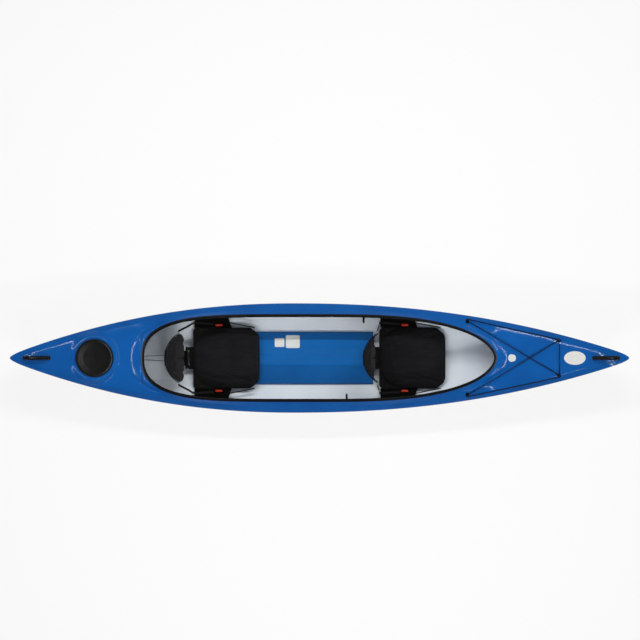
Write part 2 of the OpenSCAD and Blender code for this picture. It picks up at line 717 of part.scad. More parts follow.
// Pedal: a carriage that wraps the flange, a foot plate and the lugs of the lock lever
carriage_l = 56;
carriage_t = 5;
carriage_face = flange_face + carriage_gap + carriage_t;
plate_t = 12;
plate_x = 16;
lug_t = 4;
lug_gap = 9;
lug_r = 6;
lever_x = -20;
lever_y = -carriage_face - lug_r - 1;
lever_pin_d = 5;
lever_l = 52;
lever_t = 4;
rib_d = 5;
module foot_pedal(pr, along) {
    flange_slot_h = flange_h + 2 * carriage_gap;
    hook_out = flange_in - carriage_gap - carriage_t;
    color(black)
        along_pair(pr, along)
            difference() {
                union() {
                    translate([-carriage_l / 2, -carriage_face, -flange_slot_h / 2 - carriage_t])
                        cube([carriage_l, carriage_face - hook_out, flange_slot_h + 2 * carriage_t]);
                    translate([plate_x, -carriage_face - pedal_reach / 2, 0])
                        rotate([0, 90, 0])
                            translate([0, 0, -plate_t / 2])
                                rounded_plate(pedal_h, pedal_reach + 2, 14, plate_t);
                    for (z = [-0.32, -0.11, 0.11, 0.32])
                        translate([plate_x - plate_t / 2, -carriage_face - 8, z * pedal_h])
                            rotate([90, 0, 0])
                                cylinder(d = rib_d, h = pedal_reach - 16);
                    for (s = [-1, 1])
                        translate([lever_x, lever_y, s * (lug_gap + lug_t / 2) - lug_t / 2]) {
                            cylinder(r = lug_r, h = lug_t);
                            translate([-lug_r, 0, 0])
                                cube([2 * lug_r, -lever_y - carriage_face + 1, lug_t]);
                        }
                }
                translate([-carriage_l, -flange_face - carriage_gap, -flange_slot_h / 2])
                    cube([2 * carriage_l, flange_t + 2 * carriage_gap, flange_slot_h]);
                translate([-carriage_l, -flange_in, -web_h / 2 - carriage_gap])
                    cube([2 * carriage_l, flange_in, web_h + 2 * carriage_gap]);
                translate([lever_x, lever_y, -pedal_h])
                    cylinder(d = lever_pin_d + 2 * pin_gap, h = 2 * pedal_h);
            }
}
module lock_lever(pr, along) {
    play = 0.3;
    color(lever_red)
        along_pair(pr, along)
            translate([lever_x, lever_y, 0]) {
                translate([0, 0, -lug_gap - lug_t])
                    cylinder(d = lever_pin_d, h = 2 * (lug_gap + lug_t));
                translate([0, 0, play - lug_gap])
                    cylinder(r = lug_r - 0.5, h = 2 * (lug_gap - play));
                translate([-lever_l, -lever_t / 2, play - lug_gap])
                    cube([lever_l, lever_t, 2 * (lug_gap - play)]);
                translate([-lever_l, 0, play - lug_gap])
                    cylinder(d = 2 * lever_t, h = 2 * (lug_gap - play));
            }
}
// Where each pedal stands along its rail
rear_port_along = 315;
rear_starboard_along = 198;
front_along = 150;

// Seats: every place along X is measured from the backrest hinge
wing_t = 5;
wing_aft = 52;
wing_fwd = 308;
wing_fwd_top = 275;
wing_angle = atan2(wing_top_z - pan_top, wing_top_y - pan_w / 2);
wing_len = norm([wing_top_z - pan_top, wing_top_y - pan_w / 2]);
hanger_h = 40;
hanger_end = 20;
ledge_t = 5;
ledge_z = wing_top_z - 14;
front_pad_out = [98, 262];
front_pad_z = 190;
rear_ledge = [wing_aft, 138];
front_ledge = [84, 265];
front_seat_pair = [for (i = [0, 1]) [front_hinge_x + front_pad_out[i], front_pad_z]];
leg_d = 24;
leg_places = [[60, 110], [400, 110]];
leg_gap = 1.4;
lug_w = 24;
lug_out = 11;
lug_depth = 40;
pan_tail = 16;
seat_screw_x = 100;
seat_screw_y = 194;
screw_d = 4;
screw_head_d = 9;
screw_head_h = 2.5;
seat_screw_l = 12;
seat_boss_d = 14;
knuckle_gap = 0.5;
knuckle_w = hinge_w - 2 * lug_w - 2 * knuckle_gap;

module in_wing(hx) {
    translate([hx, pan_w / 2, pan_top])
        rotate([wing_angle, 0, 0])
            children();
}
module seat_hanger(pr, drilled) {
    l = pair_len(pr);
    difference() {
        along_pair(pr, 0) {
            for (x = [0, l])
                translate([x, 0, 0])
                    rotate([90, 0, 0])
                        cylinder(d = boss_d, h = rail_off + rail_t / 2);
            translate([-hanger_end, -rail_off - rail_t, -hanger_h / 2])
                cube([l + 2 * hanger_end, rail_t, hanger_h]);
        }
        if (drilled)
            for (x = [0, l])
                along_pair(pr, x)
                    rotate([-90, 0, 0])
                        translate([0, 0, -bolt_reach])
                            cylinder(d = bolt_d + 2 * pin_gap, h = 2 * bolt_reach);
    }
}
function hanger_y(pr, x) = let (
    n = pair_out(pr),
    p = pair_pt(pr[0]) - (rail_off + rail_t / 2) * n
) (n * p - n[0] * x - n[2] * (ledge_z + ledge_t / 2)) / n[1];
module seat_ledge(pr, x0, x1) {
    inner = wing_top_y - 2 * wing_t;
    translate([0, 0, ledge_z])
        linear_extrude(ledge_t)
            polygon([[x0, inner], [x1, inner], [x1, hanger_y(pr, x1)], [x0, hanger_y(pr, x0)]]);
}
module seat_leg(x, y) {
    foot = floor_z(x, y + leg_d / 2, 0, seam_mid, 16) + leg_gap;
    translate([x, y, foot])
        cylinder(d = leg_d, h = pan_top - pan_t / 2 - foot);
}
module seat_frame(hx, pr, drilled, ledge) {
    color(black)
        difference() {
            union() {
                translate([hx + pan_start + pan_l / 2, 0, pan_top - pan_t])
                    rounded_plate(pan_l, pan_w, 30, pan_t);
                translate([hx + pan_tail, -hinge_w / 2, pan_top - pan_t])
                    cube([pan_start + pan_tail, hinge_w, pan_t]);
                both_sides() {
                    in_wing(hx)
                        translate([0, 0, -wing_t])
                            linear_extrude(wing_t)
                                polygon([
                                    [wing_aft, -wing_t / 2], [wing_fwd, -wing_t / 2],
                                    [wing_fwd_top, wing_len], [wing_aft, wing_len]
                                ]);
                    seat_hanger(pr, drilled);
                    seat_ledge(pr, hx + ledge[0], hx + ledge[1]);
                    for (p = leg_places)
                        seat_leg(hx + p[0], p[1]);
                    translate([hx, hinge_w / 2 - lug_w, hinge_z])
                        rotate([-90, 0, 0])
                            cylinder(r = lug_out, h = lug_w);
                    translate([hx, hinge_w / 2 - lug_w, pan_top - pan_t])
                        cube([lug_depth, lug_w, hinge_z - pan_top + pan_t]);
                    translate([hx + seat_screw_x, seat_screw_y, pan_top - seat_screw_l])
                        cylinder(d = seat_boss_d, h = seat_screw_l);
                }
            }
            translate([hx, 0, hinge_z])
                rotate([90, 0, 0])
                    cylinder(d = hinge_pin_d + 2 * pin_gap, h = 2 * hinge_w, center = true);
            both_sides()
                translate([hx + seat_screw_x, seat_screw_y, pan_top - seat_screw_l - 1])
                    cylinder(d = screw_d + 2 * pin_gap, h = seat_screw_l + 2);
        }
}
module seat_screws() {
    color(steel)
        for (hx = [rear_hinge_x, front_hinge_x])
            both_sides()
                translate([hx + seat_screw_x, seat_screw_y, pan_top - seat_screw_l]) {
                    cylinder(d = screw_d, h = seat_screw_l + pin_gap);
                    translate([0, 0, seat_screw_l + pin_gap])
                        cylinder(d = screw_head_d, h = screw_head_h);
                }
}
module hinge_pin(hx) {
    head = 4;
    color(steel)
        translate([hx, 0, hinge_z])
            rotate([90, 0, 0]) {
                cylinder(d = hinge_pin_d, h = hinge_w + 2 * pin_gap, center = true);
                for (s = [0, 1])
                    mirror([0, 0, s])
                        translate([0, 0, hinge_w / 2 + pin_gap])
                            cylinder(d = hinge_pin_d + 5, h = head);
            }
}

// Seat cushion: sections along X, with sewn channels that spread from the hinge to the front
cushion_start = 40;
cushion_wide = 313;
cushion_stations = 18;
cushion_cols = 12;
cushion_channels = [-8, -4, 0, 4, 8];
channel_depth = 9;
side_low = 0.35;
base_draw = 0.88;
rear_round = 2.6;
front_round = 5;
end_rise = 0.25;
function cushion_half(x) = let (
    rear = x < cushion_wide,
    reach = rear ? cushion_wide - cushion_start : cushion_start + cushion_l - cushion_wide,
    p = rear ? rear_round : front_round,
    v = min(1, abs(x - cushion_wide) / reach)
) cushion_w / 2 * pow(max(0, 1 - pow(v, p)), 1 / p);
function cushion_ring(hx, t) = let (
    x = cushion_start + cushion_l * (1 - cos(180 * mix(0.06, 0.94, t))) / 2,
    w = cushion_half(x),
    e = 2 * t - 1,
    h = cushion_h * (end_rise + (1 - end_rise) * pow(1 - pow(e, 6), 0.5)),
    z = pan_top + soft_gap
) concat(
    [[hx + x, base_draw * w, z]],
    [for (j = [cushion_cols : -1 : -cushion_cols])
        let (v = j / cushion_cols, sewn = len(search(j, cushion_channels)) > 0)
            [hx + x, v * w, z + h * (side_low + (1 - side_low) * (1 - pow(abs(v), 4)))
                - (sewn ? channel_depth * (1 - pow(e, 4)) : 0)]],
    [[hx + x, -base_draw * w, z]]);
module seat_cushion(hx) {
    color(fabric_black)
        skin([for (i = [0 : cushion_stations]) cushion_ring(hx, i / cushion_stations)]);
}

// Backrest: a curved shell on the hinge and a half-moon pad in it
shell_bottom = hinge_z - 4;
arm_t = 8;
pad_raise = 6;
rear_pad_low = 118;
front_pad_low = front_shell_low + pad_raise;
pad_levels = 14;
pad_cols = 10;
pad_edge_t = 16;
rear_pad_face = [-24, 77];
front_pad_face = [8, 34];
pad_lean_power = 1.7;
pad_channels = [-6, 0, 6];
pad_side_in = 6;
pad_top_in = 4;
pad_crown = 8;
shell_corner = 60;
shell_reach = 137;
module backrest_frame(hx, back, low) {
    centre = hx - back + backrest_r;
    h = backrest_top - shell_bottom;
    plate_h = backrest_top - low;
    arm_end = back - backrest_t / 2;
    color(black)
        difference() {
            union() {
                intersection() {
                    translate([centre, 0, shell_bottom])
                        difference() {
                            cylinder(r = backrest_r, h = h, $fn = 96);
                            translate([0, 0, -1])
                                cylinder(r = backrest_r - backrest_t, h = h + 2, $fn = 96);
                        }
                    union() {
                        translate([hx - back - 1, 0, low + plate_h / 2])
                            rotate([0, 90, 0])
                                rounded_plate(plate_h, backrest_w, shell_corner, shell_reach);
                        translate([hx - back - 1, -knuckle_w / 2, shell_bottom])
                            cube([shell_reach, knuckle_w, h / 2]);
                    }
                }
                translate([hx - arm_end, -knuckle_w / 2, shell_bottom])
                    cube([arm_end, knuckle_w, arm_t]);
                translate([hx, 0, hinge_z])
                    rotate([90, 0, 0])
                        cylinder(r = lug_out, h = knuckle_w, center = true);
            }
            translate([hx, 0, hinge_z])
                rotate([90, 0, 0])
                    cylinder(d = hinge_pin_d + 2 * pin_gap, h = 2 * hinge_w, center = true);
        }
}
function pad_ring(hx, back, low, lean, t) = let (
    z = mix(low, backrest_top - pad_top_in, t),
    r = backrest_r - backrest_t - soft_gap,
    centre = hx - back + backrest_r,
    top_draw = pow(clamp01((t - 0.8) / 0.2), 3),
    low_draw = pow(clamp01((0.1 - t) / 0.1), 2),
    half = backrest_w / 2 - pad_side_in - 45 * top_draw - 20 * low_draw,
    face = hx + lean[0] - lean[1] * pow(t, pad_lean_power) - 25 * low_draw - 12 * top_draw
) concat(
    [for (j = [-pad_cols : pad_cols])
        let (
            y = half * j / pad_cols,
            back = centre - sqrt(r * r - y * y),
            sewn = len(search(j, pad_channels)) > 0 ? channel_depth : 0,
            swell = pad_crown * (1 - pow(abs(j) / pad_cols, 3)) - sewn
        ) [max(face + swell, back + pad_edge_t), y, z]],
    [for (j = [pad_cols : -2 : -pad_cols])
        let (y = half * j / pad_cols)
            [centre - sqrt(r * r - y * y), y, z]]);
module backrest_pad(hx, back, low, lean) {
    color(fabric_black)
        skin([for (i = [0 : pad_levels]) pad_ring(hx, back, low, lean, i / pad_levels)]);
}

// Strap buckles on the wings, with red cam levers
buckle_x = 214;
buckle_s = 42;
buckle_l = 46;
buckle_w = 26;
buckle_t = 3;
cheek_t = 3;
cheek_h = 12;
cam_x = -13;
cam_z = 8;
cam_r = 4;
cam_pin_d = 4;
cam_l = 34;
module at_buckle(hx) {
    in_wing(hx)
        translate([buckle_x, buckle_s, soft_gap])
            children();
}
module strap_buckle(hx) {
    color(black)
        at_buckle(hx)
            difference() {
                union() {
                    rounded_plate(buckle_l, buckle_w, 5, buckle_t);
                    for (s = [-1, 1])
                        translate([cam_x - cam_r - 2, s * (buckle_w / 2 - cheek_t / 2) - cheek_t / 2, 0])
                            cube([2 * cam_r + 4, cheek_t, cheek_h]);
                }
                translate([cam_x, 0, cam_z])
                    rotate([90, 0, 0])
                        cylinder(d = cam_pin_d + 2 * pin_gap, h = 2 * buckle_w, center = true);
            }
}
module buckle_lever(hx) {
    w = buckle_w - 2 * cheek_t - 2 * soft_gap;
    color(lever_red)
        at_buckle(hx)
            translate([cam_x, 0, cam_z]) {
                rotate([90, 0, 0])
                    cylinder(d = cam_pin_d, h = buckle_w, center = true);
                rotate([90, 0, 0])
                    cylinder(r = cam_r, h = w, center = true);
                translate([0, -w / 2, cam_r - lever_t])
                    cube([cam_l, w, lever_t]);
                translate([cam_l, 0, cam_r - lever_t])
                    cylinder(d = w, h = lever_t);
            }
}
// Webbing and cords of the seats
web_w = 22;
web_thick = 2;
shell_edge = backrest_r - sqrt(pow(backrest_r, 2) - pow(backrest_w / 2, 2));
strap_sewn = [-1.8, 11.5];
strap_from = [shell_edge + strap_sewn[0], backrest_w / 2 + strap_sewn[1], 262];
strap_stop = 3.5;
strap_lift = 1.4;
strap_edge = [54, 58, 4];
function wing_pt(hx, x, s, lift) = [hx + x,
    pan_w / 2 + s * cos(wing_angle) - lift * sin(wing_angle),
    pan_top + s * sin(wing_angle) + lift * cos(wing_angle)];
module backrest_straps(hx, back) {
    from = [hx - back + strap_from[0], strap_from[1], strap_from[2]];
    edge = wing_pt(hx, strap_edge[0], strap_edge[1], strap_edge[2]);
    end = [buckle_x - buckle_l / 2 - strap_stop, buckle_s, strap_lift];
    half = (strap_edge + end) / 2;
    path = concat([for (t = [0, 0.33, 0.67]) mix(from, edge, t)],
        [edge, wing_pt(hx, half[0], half[1], half[2]), wing_pt(hx, end[0], end[1], end[2])]);
    color(fabric_black)
        both_sides()
            strap(path, [0, cos(wing_angle), sin(wing_angle)], web_w, web_thick);
}
lift_w = 12;
lift_from = [300, 60];
lift_in = [36, 8];
lift_to = [cushion_start + cushion_l - lift_in[0], cushion_w / 2 - lift_in[1], 97];
module leg_straps(hx) {
    from = wing_pt(hx, lift_from[0] - 8, lift_from[1], 2);
    to = [hx + lift_to[0], lift_to[1], lift_to[2]];
    color(fabric_black)
        both_sides()
            strap([from, wing_pt(hx, wing_fwd + 4, lift_from[1] - 6, 3), mix(from, to, 0.6), to],
                [0, cos(wing_angle), sin(wing_angle)], lift_w, web_thick);
}
cord_d = 4;
cord_spread = 20;
cord_join = 8;
cord_sag = 6;
cord_z = 330;
module rear_backrest_cords() {
    centre = rear_hinge_x - rear_back + backrest_r;
    shell_x = centre - sqrt(backrest_r * backrest_r - cord_spread * cord_spread) - soft_gap;
    wall_x = bulkhead_x + bulkhead_t / 2 + soft_gap;
    color(cord_black)
        for (s = [-1, 1])
            let (a = [shell_x, s * cord_spread, cord_z], b = [wall_x, s * cord_join, cord_z])
                tube([for (t = [0, 0.25, 0.5, 0.75, 1]) mix(a, b, t) - [0, 0, cord_sag * sin(180 * t)]],
                    cord_d / 2);
}

// Deck fittings: mushroom posts that hold the bungee
post_base_r = 13;
post_base_h = 3;
post_neck_r = 5;
post_cap_r = 9;
post_h = 21;
post_cap_h = 4;
post_lift = 0.6;
fitting_screw_l = 14;
fitting_places = [
    [fitting_fwd_x, 1], [fitting_aft_x, 1], [fitting_fwd_x, -1], [fitting_aft_x, -1]
];
function fitting_at(j) = let (f = fitting_places[j]) [f[0], f[1] * (deck_half(f[0]) - fitting_in)];
module at_fittings() {
    for (j = [0 : len(fitting_places) - 1])
        let (p = fitting_at(j))
            stand_on_deck(p[0], p[1])
                translate([0, 0, post_lift])
                    children();
}
module deck_fittings() {
    bore = screw_d / 2 + pin_gap;
    color(black)
        at_fittings()
            rotate_extrude()
                polygon([
                    [bore, 0], [post_base_r, 0], [post_base_r, post_base_h - 1],
                    [post_base_r - 2, post_base_h], [post_neck_r, post_base_h],
                    [post_neck_r, post_h - post_cap_h], [post_cap_r, post_h - post_cap_h],
                    [post_cap_r, post_h - 1], [post_cap_r - 2, post_h], [bore, post_h]
                ]);
}
module deck_fitting_screws() {
    color(steel)
        at_fittings() {
            translate([0, 0, -fitting_screw_l + post_lift])
                cylinder(d = screw_d, h = post_h + fitting_screw_l - post_lift + pin_gap);
            translate([0, 0, post_h + pin_gap])
                cylinder(d = screw_head_d, h = screw_head_h);
        }
}
// Bungee: points round a post by angle and layer, and runs over the deck between posts
bungee_r = bungee_d / 2;
wrap_gap = 0.8;
wrap_r = post_neck_r + bungee_r + wrap_gap;
layer_low = post_lift + post_base_h + bungee_r + wrap_gap;
layer_up = [layer_low, layer_low + 2 * bungee_r + wrap_gap];
run_lift = bungee_r + 5.4;
run_points = 15;
cross_lift = bungee_d + 1.5;
function post_pt(j, angle, r, layer) = let (
    p = fitting_at(j),
    n = deck_normal(p[0], p[1]),
    e = unit([1, 0, 0] - n[0] * n)
) on_deck(p, 0) + layer_up[layer] * n + r * (cos(angle) * e + sin(angle) * cross(n, e));
function run(from, to, hump) = [for (i = [1 : run_points])
    let (t = i / (run_points + 1), p = mix(from, to, t), ends = 1 - sin(180 * t))
        [p[0], p[1], max(deck_z(p[0], p[1]) + run_lift + hump * pow(sin(180 * t), 4),
            mix(p[2], deck_z(p[0], p[1]) + run_lift, 1 - pow(ends, 2)))]];
function leg(from, to, hump = 0) = concat([from], run(from, to, hump), [to]);
module deck_bungee() {
    end_r = post_neck_r + 2.4;
    color(cord_black) {
        tube(concat(
            leg(post_pt(0, 160, end_r, 0), post_pt(1, 80, wrap_r, 0)),
            [post_pt(1, 130, wrap_r, 0), post_pt(1, 180, wrap_r, 0), post_pt(1, 230, wrap_r, 0)],
            leg(post_pt(1, 285, wrap_r, 0), post_pt(2, 75, wrap_r, 0)),
            [post_pt(2, 30, wrap_r, 0), post_pt(2, 340, wrap_r, 0), post_pt(2, 300, wrap_r, 0)],
            leg(post_pt(2, 265, wrap_r, 0), post_pt(3, 280, wrap_r, 0)),
            [post_pt(3, 230, wrap_r, 0), post_pt(3, 180, wrap_r, 0), post_pt(3, 130, wrap_r, 0)],
            leg(post_pt(3, 75, wrap_r, 0), post_pt(0, 225, end_r, 0), cross_lift)), bungee_r);
        tube(leg(post_pt(0, 290, end_r, 0), post_pt(2, 70, end_r, 1)), bungee_r);
    }
}

// Carry handles: anchors on the deck, a cord through their eyes and a thick grip
handle_axis = 12;
anchor_r = 17;
anchor_t = 4;
anchor_lift = 0.6;
eye_w = 15;
eye_t = 9;
eye_gap = 0.8;
anchor_screw_y = 12;
anchor_screw_l = 12;
loop_out = 13;
arch_steps = 12;
arch_power = 0.85;
arch_from = 24;
grip_from = 40;
grip_wall_gap = 0.6;
function foot_pt(x) = [x, 0, deck_z(x, 0) + handle_axis];
function handle_dir(x1, x2) = unit(foot_pt(x2) - foot_pt(x1));
function handle_up(x1, x2) = cross(handle_dir(x1, x2), [0, 1, 0]);
function arch_pt(x1, x2, a) = let (
    d = handle_dir(x1, x2),
    half = norm(foot_pt(x2) - foot_pt(x1)) / 2 + loop_out,
    rise = handle_rise - handle_axis
) (foot_pt(x1) + foot_pt(x2)) / 2 - sign(cos(a)) * half * pow(abs(cos(a)), arch_power) * d
    + rise * pow(sin(a), arch_power) * handle_up(x1, x2);
function loop_end(x, d, n) = let (p = foot_pt(x))
    [p + 8 * d, p, p - 5 * d + 0.6 * n, p - 10 * d + 4 * n];
function handle_path(x1, x2) = let (d = handle_dir(x1, x2), n = handle_up(x1, x2)) concat(
    loop_end(x1, d, n),
    [for (i = [0 : arch_steps]) arch_pt(x1, x2, mix(arch_from, 180 - arch_from, i / arch_steps))],
    reversed(loop_end(x2, -d, n)));
module at_anchor(x, x1, x2) {
    d = handle_dir(x1, x2);
    translate(foot_pt(x))
        rotate([0, -asin(d[2]), 0])
            children();
}
module handle_anchors(x1, x2) {
    low = -handle_axis + anchor_lift;
    color(black)
        for (x = [x1, x2])
            at_anchor(x, x1, x2)
                difference() {
                    union() {
                        translate([0, 0, low])
                            cylinder(r = anchor_r, h = anchor_t);
                        translate([-eye_t / 2, -eye_w / 2, low])
                            cube([eye_t, eye_w, handle_axis]);
                        rotate([0, 90, 0])
                            cylinder(d = eye_w, h = eye_t, center = true);
                    }
                    rotate([0, 90, 0])
                        cylinder(d = handle_cord_d + 2 * eye_gap, h = 4 * eye_t, center = true);
                    for (s = [-1, 1])
                        translate([0, s * anchor_screw_y, low - 1])
                            cylinder(d = screw_d + 2 * pin_gap, h = handle_axis);
                }
}
module at_handle_screws() {
    for (pr = [[stern_handle_x1, stern_handle_x2], [bow_handle_x1, bow_handle_x2]])
        for (x = pr)
            at_anchor(x, pr[0], pr[1])
                for (s = [-1, 1])
                    translate([0, s * anchor_screw_y, anchor_lift - handle_axis])
                        children();
}
module handle_screws() {
    color(steel)
        at_handle_screws() {
            translate([0, 0, -anchor_screw_l])
                cylinder(d = screw_d, h = anchor_screw_l + anchor_t + pin_gap);
            translate([0, 0, anchor_t + pin_gap])
                cylinder(d = screw_head_d - 2, h = screw_head_h);
        }
}
module handle_cord(x1, x2) {
    color(cord_black)
        tube(handle_path(x1, x2), handle_cord_d / 2);
}
module handle_grip(x1, x2) {
    path = [for (i = [0 : arch_steps]) arch_pt(x1, x2, mix(grip_from, 180 - grip_from, i / arch_steps))];
    bore = handle_cord_d / 2 + grip_wall_gap;
    outer = [for (i = [0 : arch_steps]) tube_ring(path[i], tangent(path, i), grip_d / 2, 12)];
    inner = [for (i = [arch_steps : -1 : 0]) tube_ring(path[i], tangent(path, i), bore, 12)];
    color(black)
        skin(concat(outer, inner), closed = true);
}

module starboard() {
    mirror([0, 1, 0])
        children();
}
hull_shell();
deck_shell();
cockpit_trim();
floor_panel();
stern_bulkhead();
bow_flotation();
hatch_ring();
hatch_cover();
deck_fittings();
deck_fitting_screws();
deck_bungee();
seat_frame(rear_hinge_x, seat_pair, true, rear_ledge);  // rear_seat_frame
seat_frame(front_hinge_x, front_seat_pair, false, front_ledge);  // front_seat_frame
seat_cushion(rear_hinge_x);  // rear_seat_cushion
seat_cushion(front_hinge_x);  // front_seat_cushion
seat_screws();
hinge_pin(rear_hinge_x);  // rear_hinge_pin
hinge_pin(front_hinge_x);  // front_hinge_pin
backrest_frame(rear_hinge_x, rear_back, shell_bottom);  // rear_backrest_frame
backrest_frame(front_hinge_x, front_back, front_shell_low);  // front_backrest_frame
backrest_pad(rear_hinge_x, rear_back, rear_pad_low, rear_pad_face);  // rear_backrest_pad
backrest_pad(front_hinge_x, front_back, front_pad_low, front_pad_face);  // front_backrest_pad
backrest_straps(rear_hinge_x, rear_back);  // rear_backrest_straps
backrest_straps(front_hinge_x, front_back);  // front_backrest_straps
rear_backrest_cords();
leg_straps(rear_hinge_x);  // rear_leg_straps
leg_straps(front_hinge_x);  // front_leg_straps
strap_buckle(rear_hinge_x);  // rear_port_buckle
starboard() strap_buckle(rear_hinge_x);  // rear_starboard_buckle
strap_buckle(front_hinge_x);  // front_port_buckle
starboard() strap_buckle(front_hinge_x);  // front_starboard_buckle
buckle_lever(rear_hinge_x);  // rear_port_buckle_lever
starboard() buckle_lever(rear_hinge_x);  // rear_starboard_buckle_lever
buckle_lever(front_hinge_x);  // front_port_buckle_lever
starboard() buckle_lever(front_hinge_x);  // front_starboard_buckle_lever
hull_bolts();
hull_nuts();
foot_rail(rear_pair);  // rear_port_rail
starboard() foot_rail(rear_pair);  // rear_starboard_rail
foot_rail(front_pair);  // front_port_rail
starboard() foot_rail(front_pair);  // front_starboard_rail
foot_pedal(rear_pair, rear_port_along);  // rear_port_pedal
starboard() foot_pedal(rear_pair, rear_starboard_along);  // rear_starboard_pedal
foot_pedal(front_pair, front_along);  // front_port_pedal
starboard() foot_pedal(front_pair, front_along);  // front_starboard_pedal
lock_lever(rear_pair, rear_port_along);  // rear_port_lock_lever
starboard() lock_lever(rear_pair, rear_starboard_along);  // rear_starboard_lock_lever
lock_lever(front_pair, front_along);  // front_port_lock_lever
starboard() lock_lever(front_pair, front_along);  // front_starboard_lock_lever
handle_anchors(stern_handle_x1, stern_handle_x2);  // stern_handle_anchors
handle_cord(stern_handle_x1, stern_handle_x2);  // stern_handle_cord
handle_grip(stern_handle_x1, stern_handle_x2);  // stern_handle_grip
handle_anchors(bow_handle_x1, bow_handle_x2);  // bow_handle_anchors
handle_cord(bow_handle_x1, bow_handle_x2);  // bow_handle_cord
handle_grip(bow_handle_x1, bow_handle_x2);  // bow_handle_grip
handle_screws();
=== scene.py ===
# %% [markdown]
# # A tandem kayak, dressed for its portrait
#
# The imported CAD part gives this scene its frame: every bolt, hinge, rail and lever is
# already in place and stays where it is. What CAD shows only in facets, or as plain
# blocks, is remade here: the moulded hull and deck, the rubber trim, the padded seats,
# the webbing and the cords. +X points to the bow, +Y to port and +Z up, in metres.

import json
from math import cos, pi, radians, sin, sqrt

import bmesh
import bpy
import numpy as np
from mathutils import Matrix, Vector


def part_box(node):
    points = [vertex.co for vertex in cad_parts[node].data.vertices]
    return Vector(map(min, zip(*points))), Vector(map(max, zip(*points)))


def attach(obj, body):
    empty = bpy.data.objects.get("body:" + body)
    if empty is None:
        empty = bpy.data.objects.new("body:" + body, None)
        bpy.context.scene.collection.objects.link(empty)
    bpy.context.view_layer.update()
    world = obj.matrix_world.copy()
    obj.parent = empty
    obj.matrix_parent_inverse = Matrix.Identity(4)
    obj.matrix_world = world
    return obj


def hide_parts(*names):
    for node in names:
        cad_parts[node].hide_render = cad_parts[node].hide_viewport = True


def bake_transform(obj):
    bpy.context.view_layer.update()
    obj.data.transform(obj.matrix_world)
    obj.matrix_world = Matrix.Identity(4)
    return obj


with open("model.json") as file:
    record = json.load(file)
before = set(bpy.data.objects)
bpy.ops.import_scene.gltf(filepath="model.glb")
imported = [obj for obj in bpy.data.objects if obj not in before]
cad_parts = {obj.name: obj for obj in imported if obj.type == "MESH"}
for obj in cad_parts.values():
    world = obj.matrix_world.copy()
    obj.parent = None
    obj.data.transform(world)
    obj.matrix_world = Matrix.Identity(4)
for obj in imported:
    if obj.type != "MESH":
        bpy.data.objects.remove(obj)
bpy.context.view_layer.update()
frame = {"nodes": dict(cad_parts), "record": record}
print("frame:", len(frame["nodes"]), "nodes")

# %% [markdown]
# ## Driving sizes
#
# Lengths are in millimetres, as in the part's source, and `MM` turns them into metres.
# The large sizes are read from the frame, so the dressing follows the part.

# %%
MM = 0.001
WALL = 4.0
SEAM_GAP = 0.4
TIP_GAP = 2.0


def box_mm(node):
    low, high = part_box(node)
    return low / MM, high / MM


deck_high = box_mm("deck_shell")[1]
trim_low, trim_high = box_mm("cockpit_trim")
HALF_L = deck_high.x
HALF_BEAM = deck_high.y
WIDE_X = -180.0
TIP_HALF = 20.0
COCKPIT_AFT, COCKPIT_FWD, COCKPIT_HALF = trim_low.x, trim_high.x, trim_high.y
SEAM_MID = 218.0
SEAM_RISE = 206.0
print("boat %.0f mm long, %.0f mm wide" % (2 * HALF_L, 2 * HALF_BEAM))

# %% [markdown]
# ## Lines of the boat
#
# A boat's shape is drawn as lines: the deck edge in plan, the seam and the keel in
# profile, and a section that changes from stern to bow. Written as formulas, the lines
# can be sampled as finely as the picture needs. `u` runs from -1 at the stern to 1 at
# the bow, and `h` from 0 at the keel to 1 at the seam.

# %%
KEEL_FLAT, ROCKER_END, ROCKER = 360.0, 1850.0, 55.0
KEEL_HALF, FIN_HALF = 60.0, 12.0
STERN_SWEEP, BOW_SWEEP, BOW_RAKE = 230.0, 330.0, 70.0
CHINE_START, CHINE_LOW = 1083.0, 0.07
CHINE_SLOPE = {"stern": 0.0004, "bow": 0.0005}
HOLLOW = {"stern": 3.5, "bow": 1.4}
HOLLOW_FROM, HOLLOW_OVER = 0.45, 0.35
MID_FULL, END_FULL = 2.5, 1.35
STERN_POWER, BOW_POWER, TIP_POWER = 2.1, 2.2, 80
STERN_SEAM_POWER, BOW_SEAM_POWER = 2.2, 2.6


def mix(a, b, t):
    return a + (b - a) * t


def ease(v):
    t = min(1.0, max(0.0, v))
    return t * t * (3 - 2 * t)


def deck_full(u):
    x = u * HALF_L
    if x < WIDE_X:
        v, power = (WIDE_X - x) / (HALF_L + WIDE_X), STERN_POWER
    else:
        v, power = (x - WIDE_X) / (HALF_L - WIDE_X), BOW_POWER
    return TIP_HALF + (HALF_BEAM - TIP_HALF) * (1 - v ** power)


def tip_round(u):
    return sqrt(max(0.0, 1 - abs(u) ** TIP_POWER))


def seam_z(x):
    power = STERN_SEAM_POWER if x < 0 else BOW_SEAM_POWER
    return SEAM_MID + SEAM_RISE * min(1.0, abs(x) / HALF_L) ** power


def keel_z(x):
    t = min(1.0, max(0.0, (abs(x) - KEEL_FLAT) / (ROCKER_END - KEEL_FLAT)))
    return ROCKER * (1 - cos(pi * t)) / 2


def chine_at(u):
    out = max(0.0, abs(u) * HALF_L - CHINE_START)
    return CHINE_LOW + out * CHINE_SLOPE["stern" if u < 0 else "bow"]


def bilge(h, u):
    n = mix(MID_FULL, END_FULL, u * u)
    return (1 - (1 - h) ** n) ** (1 / n)


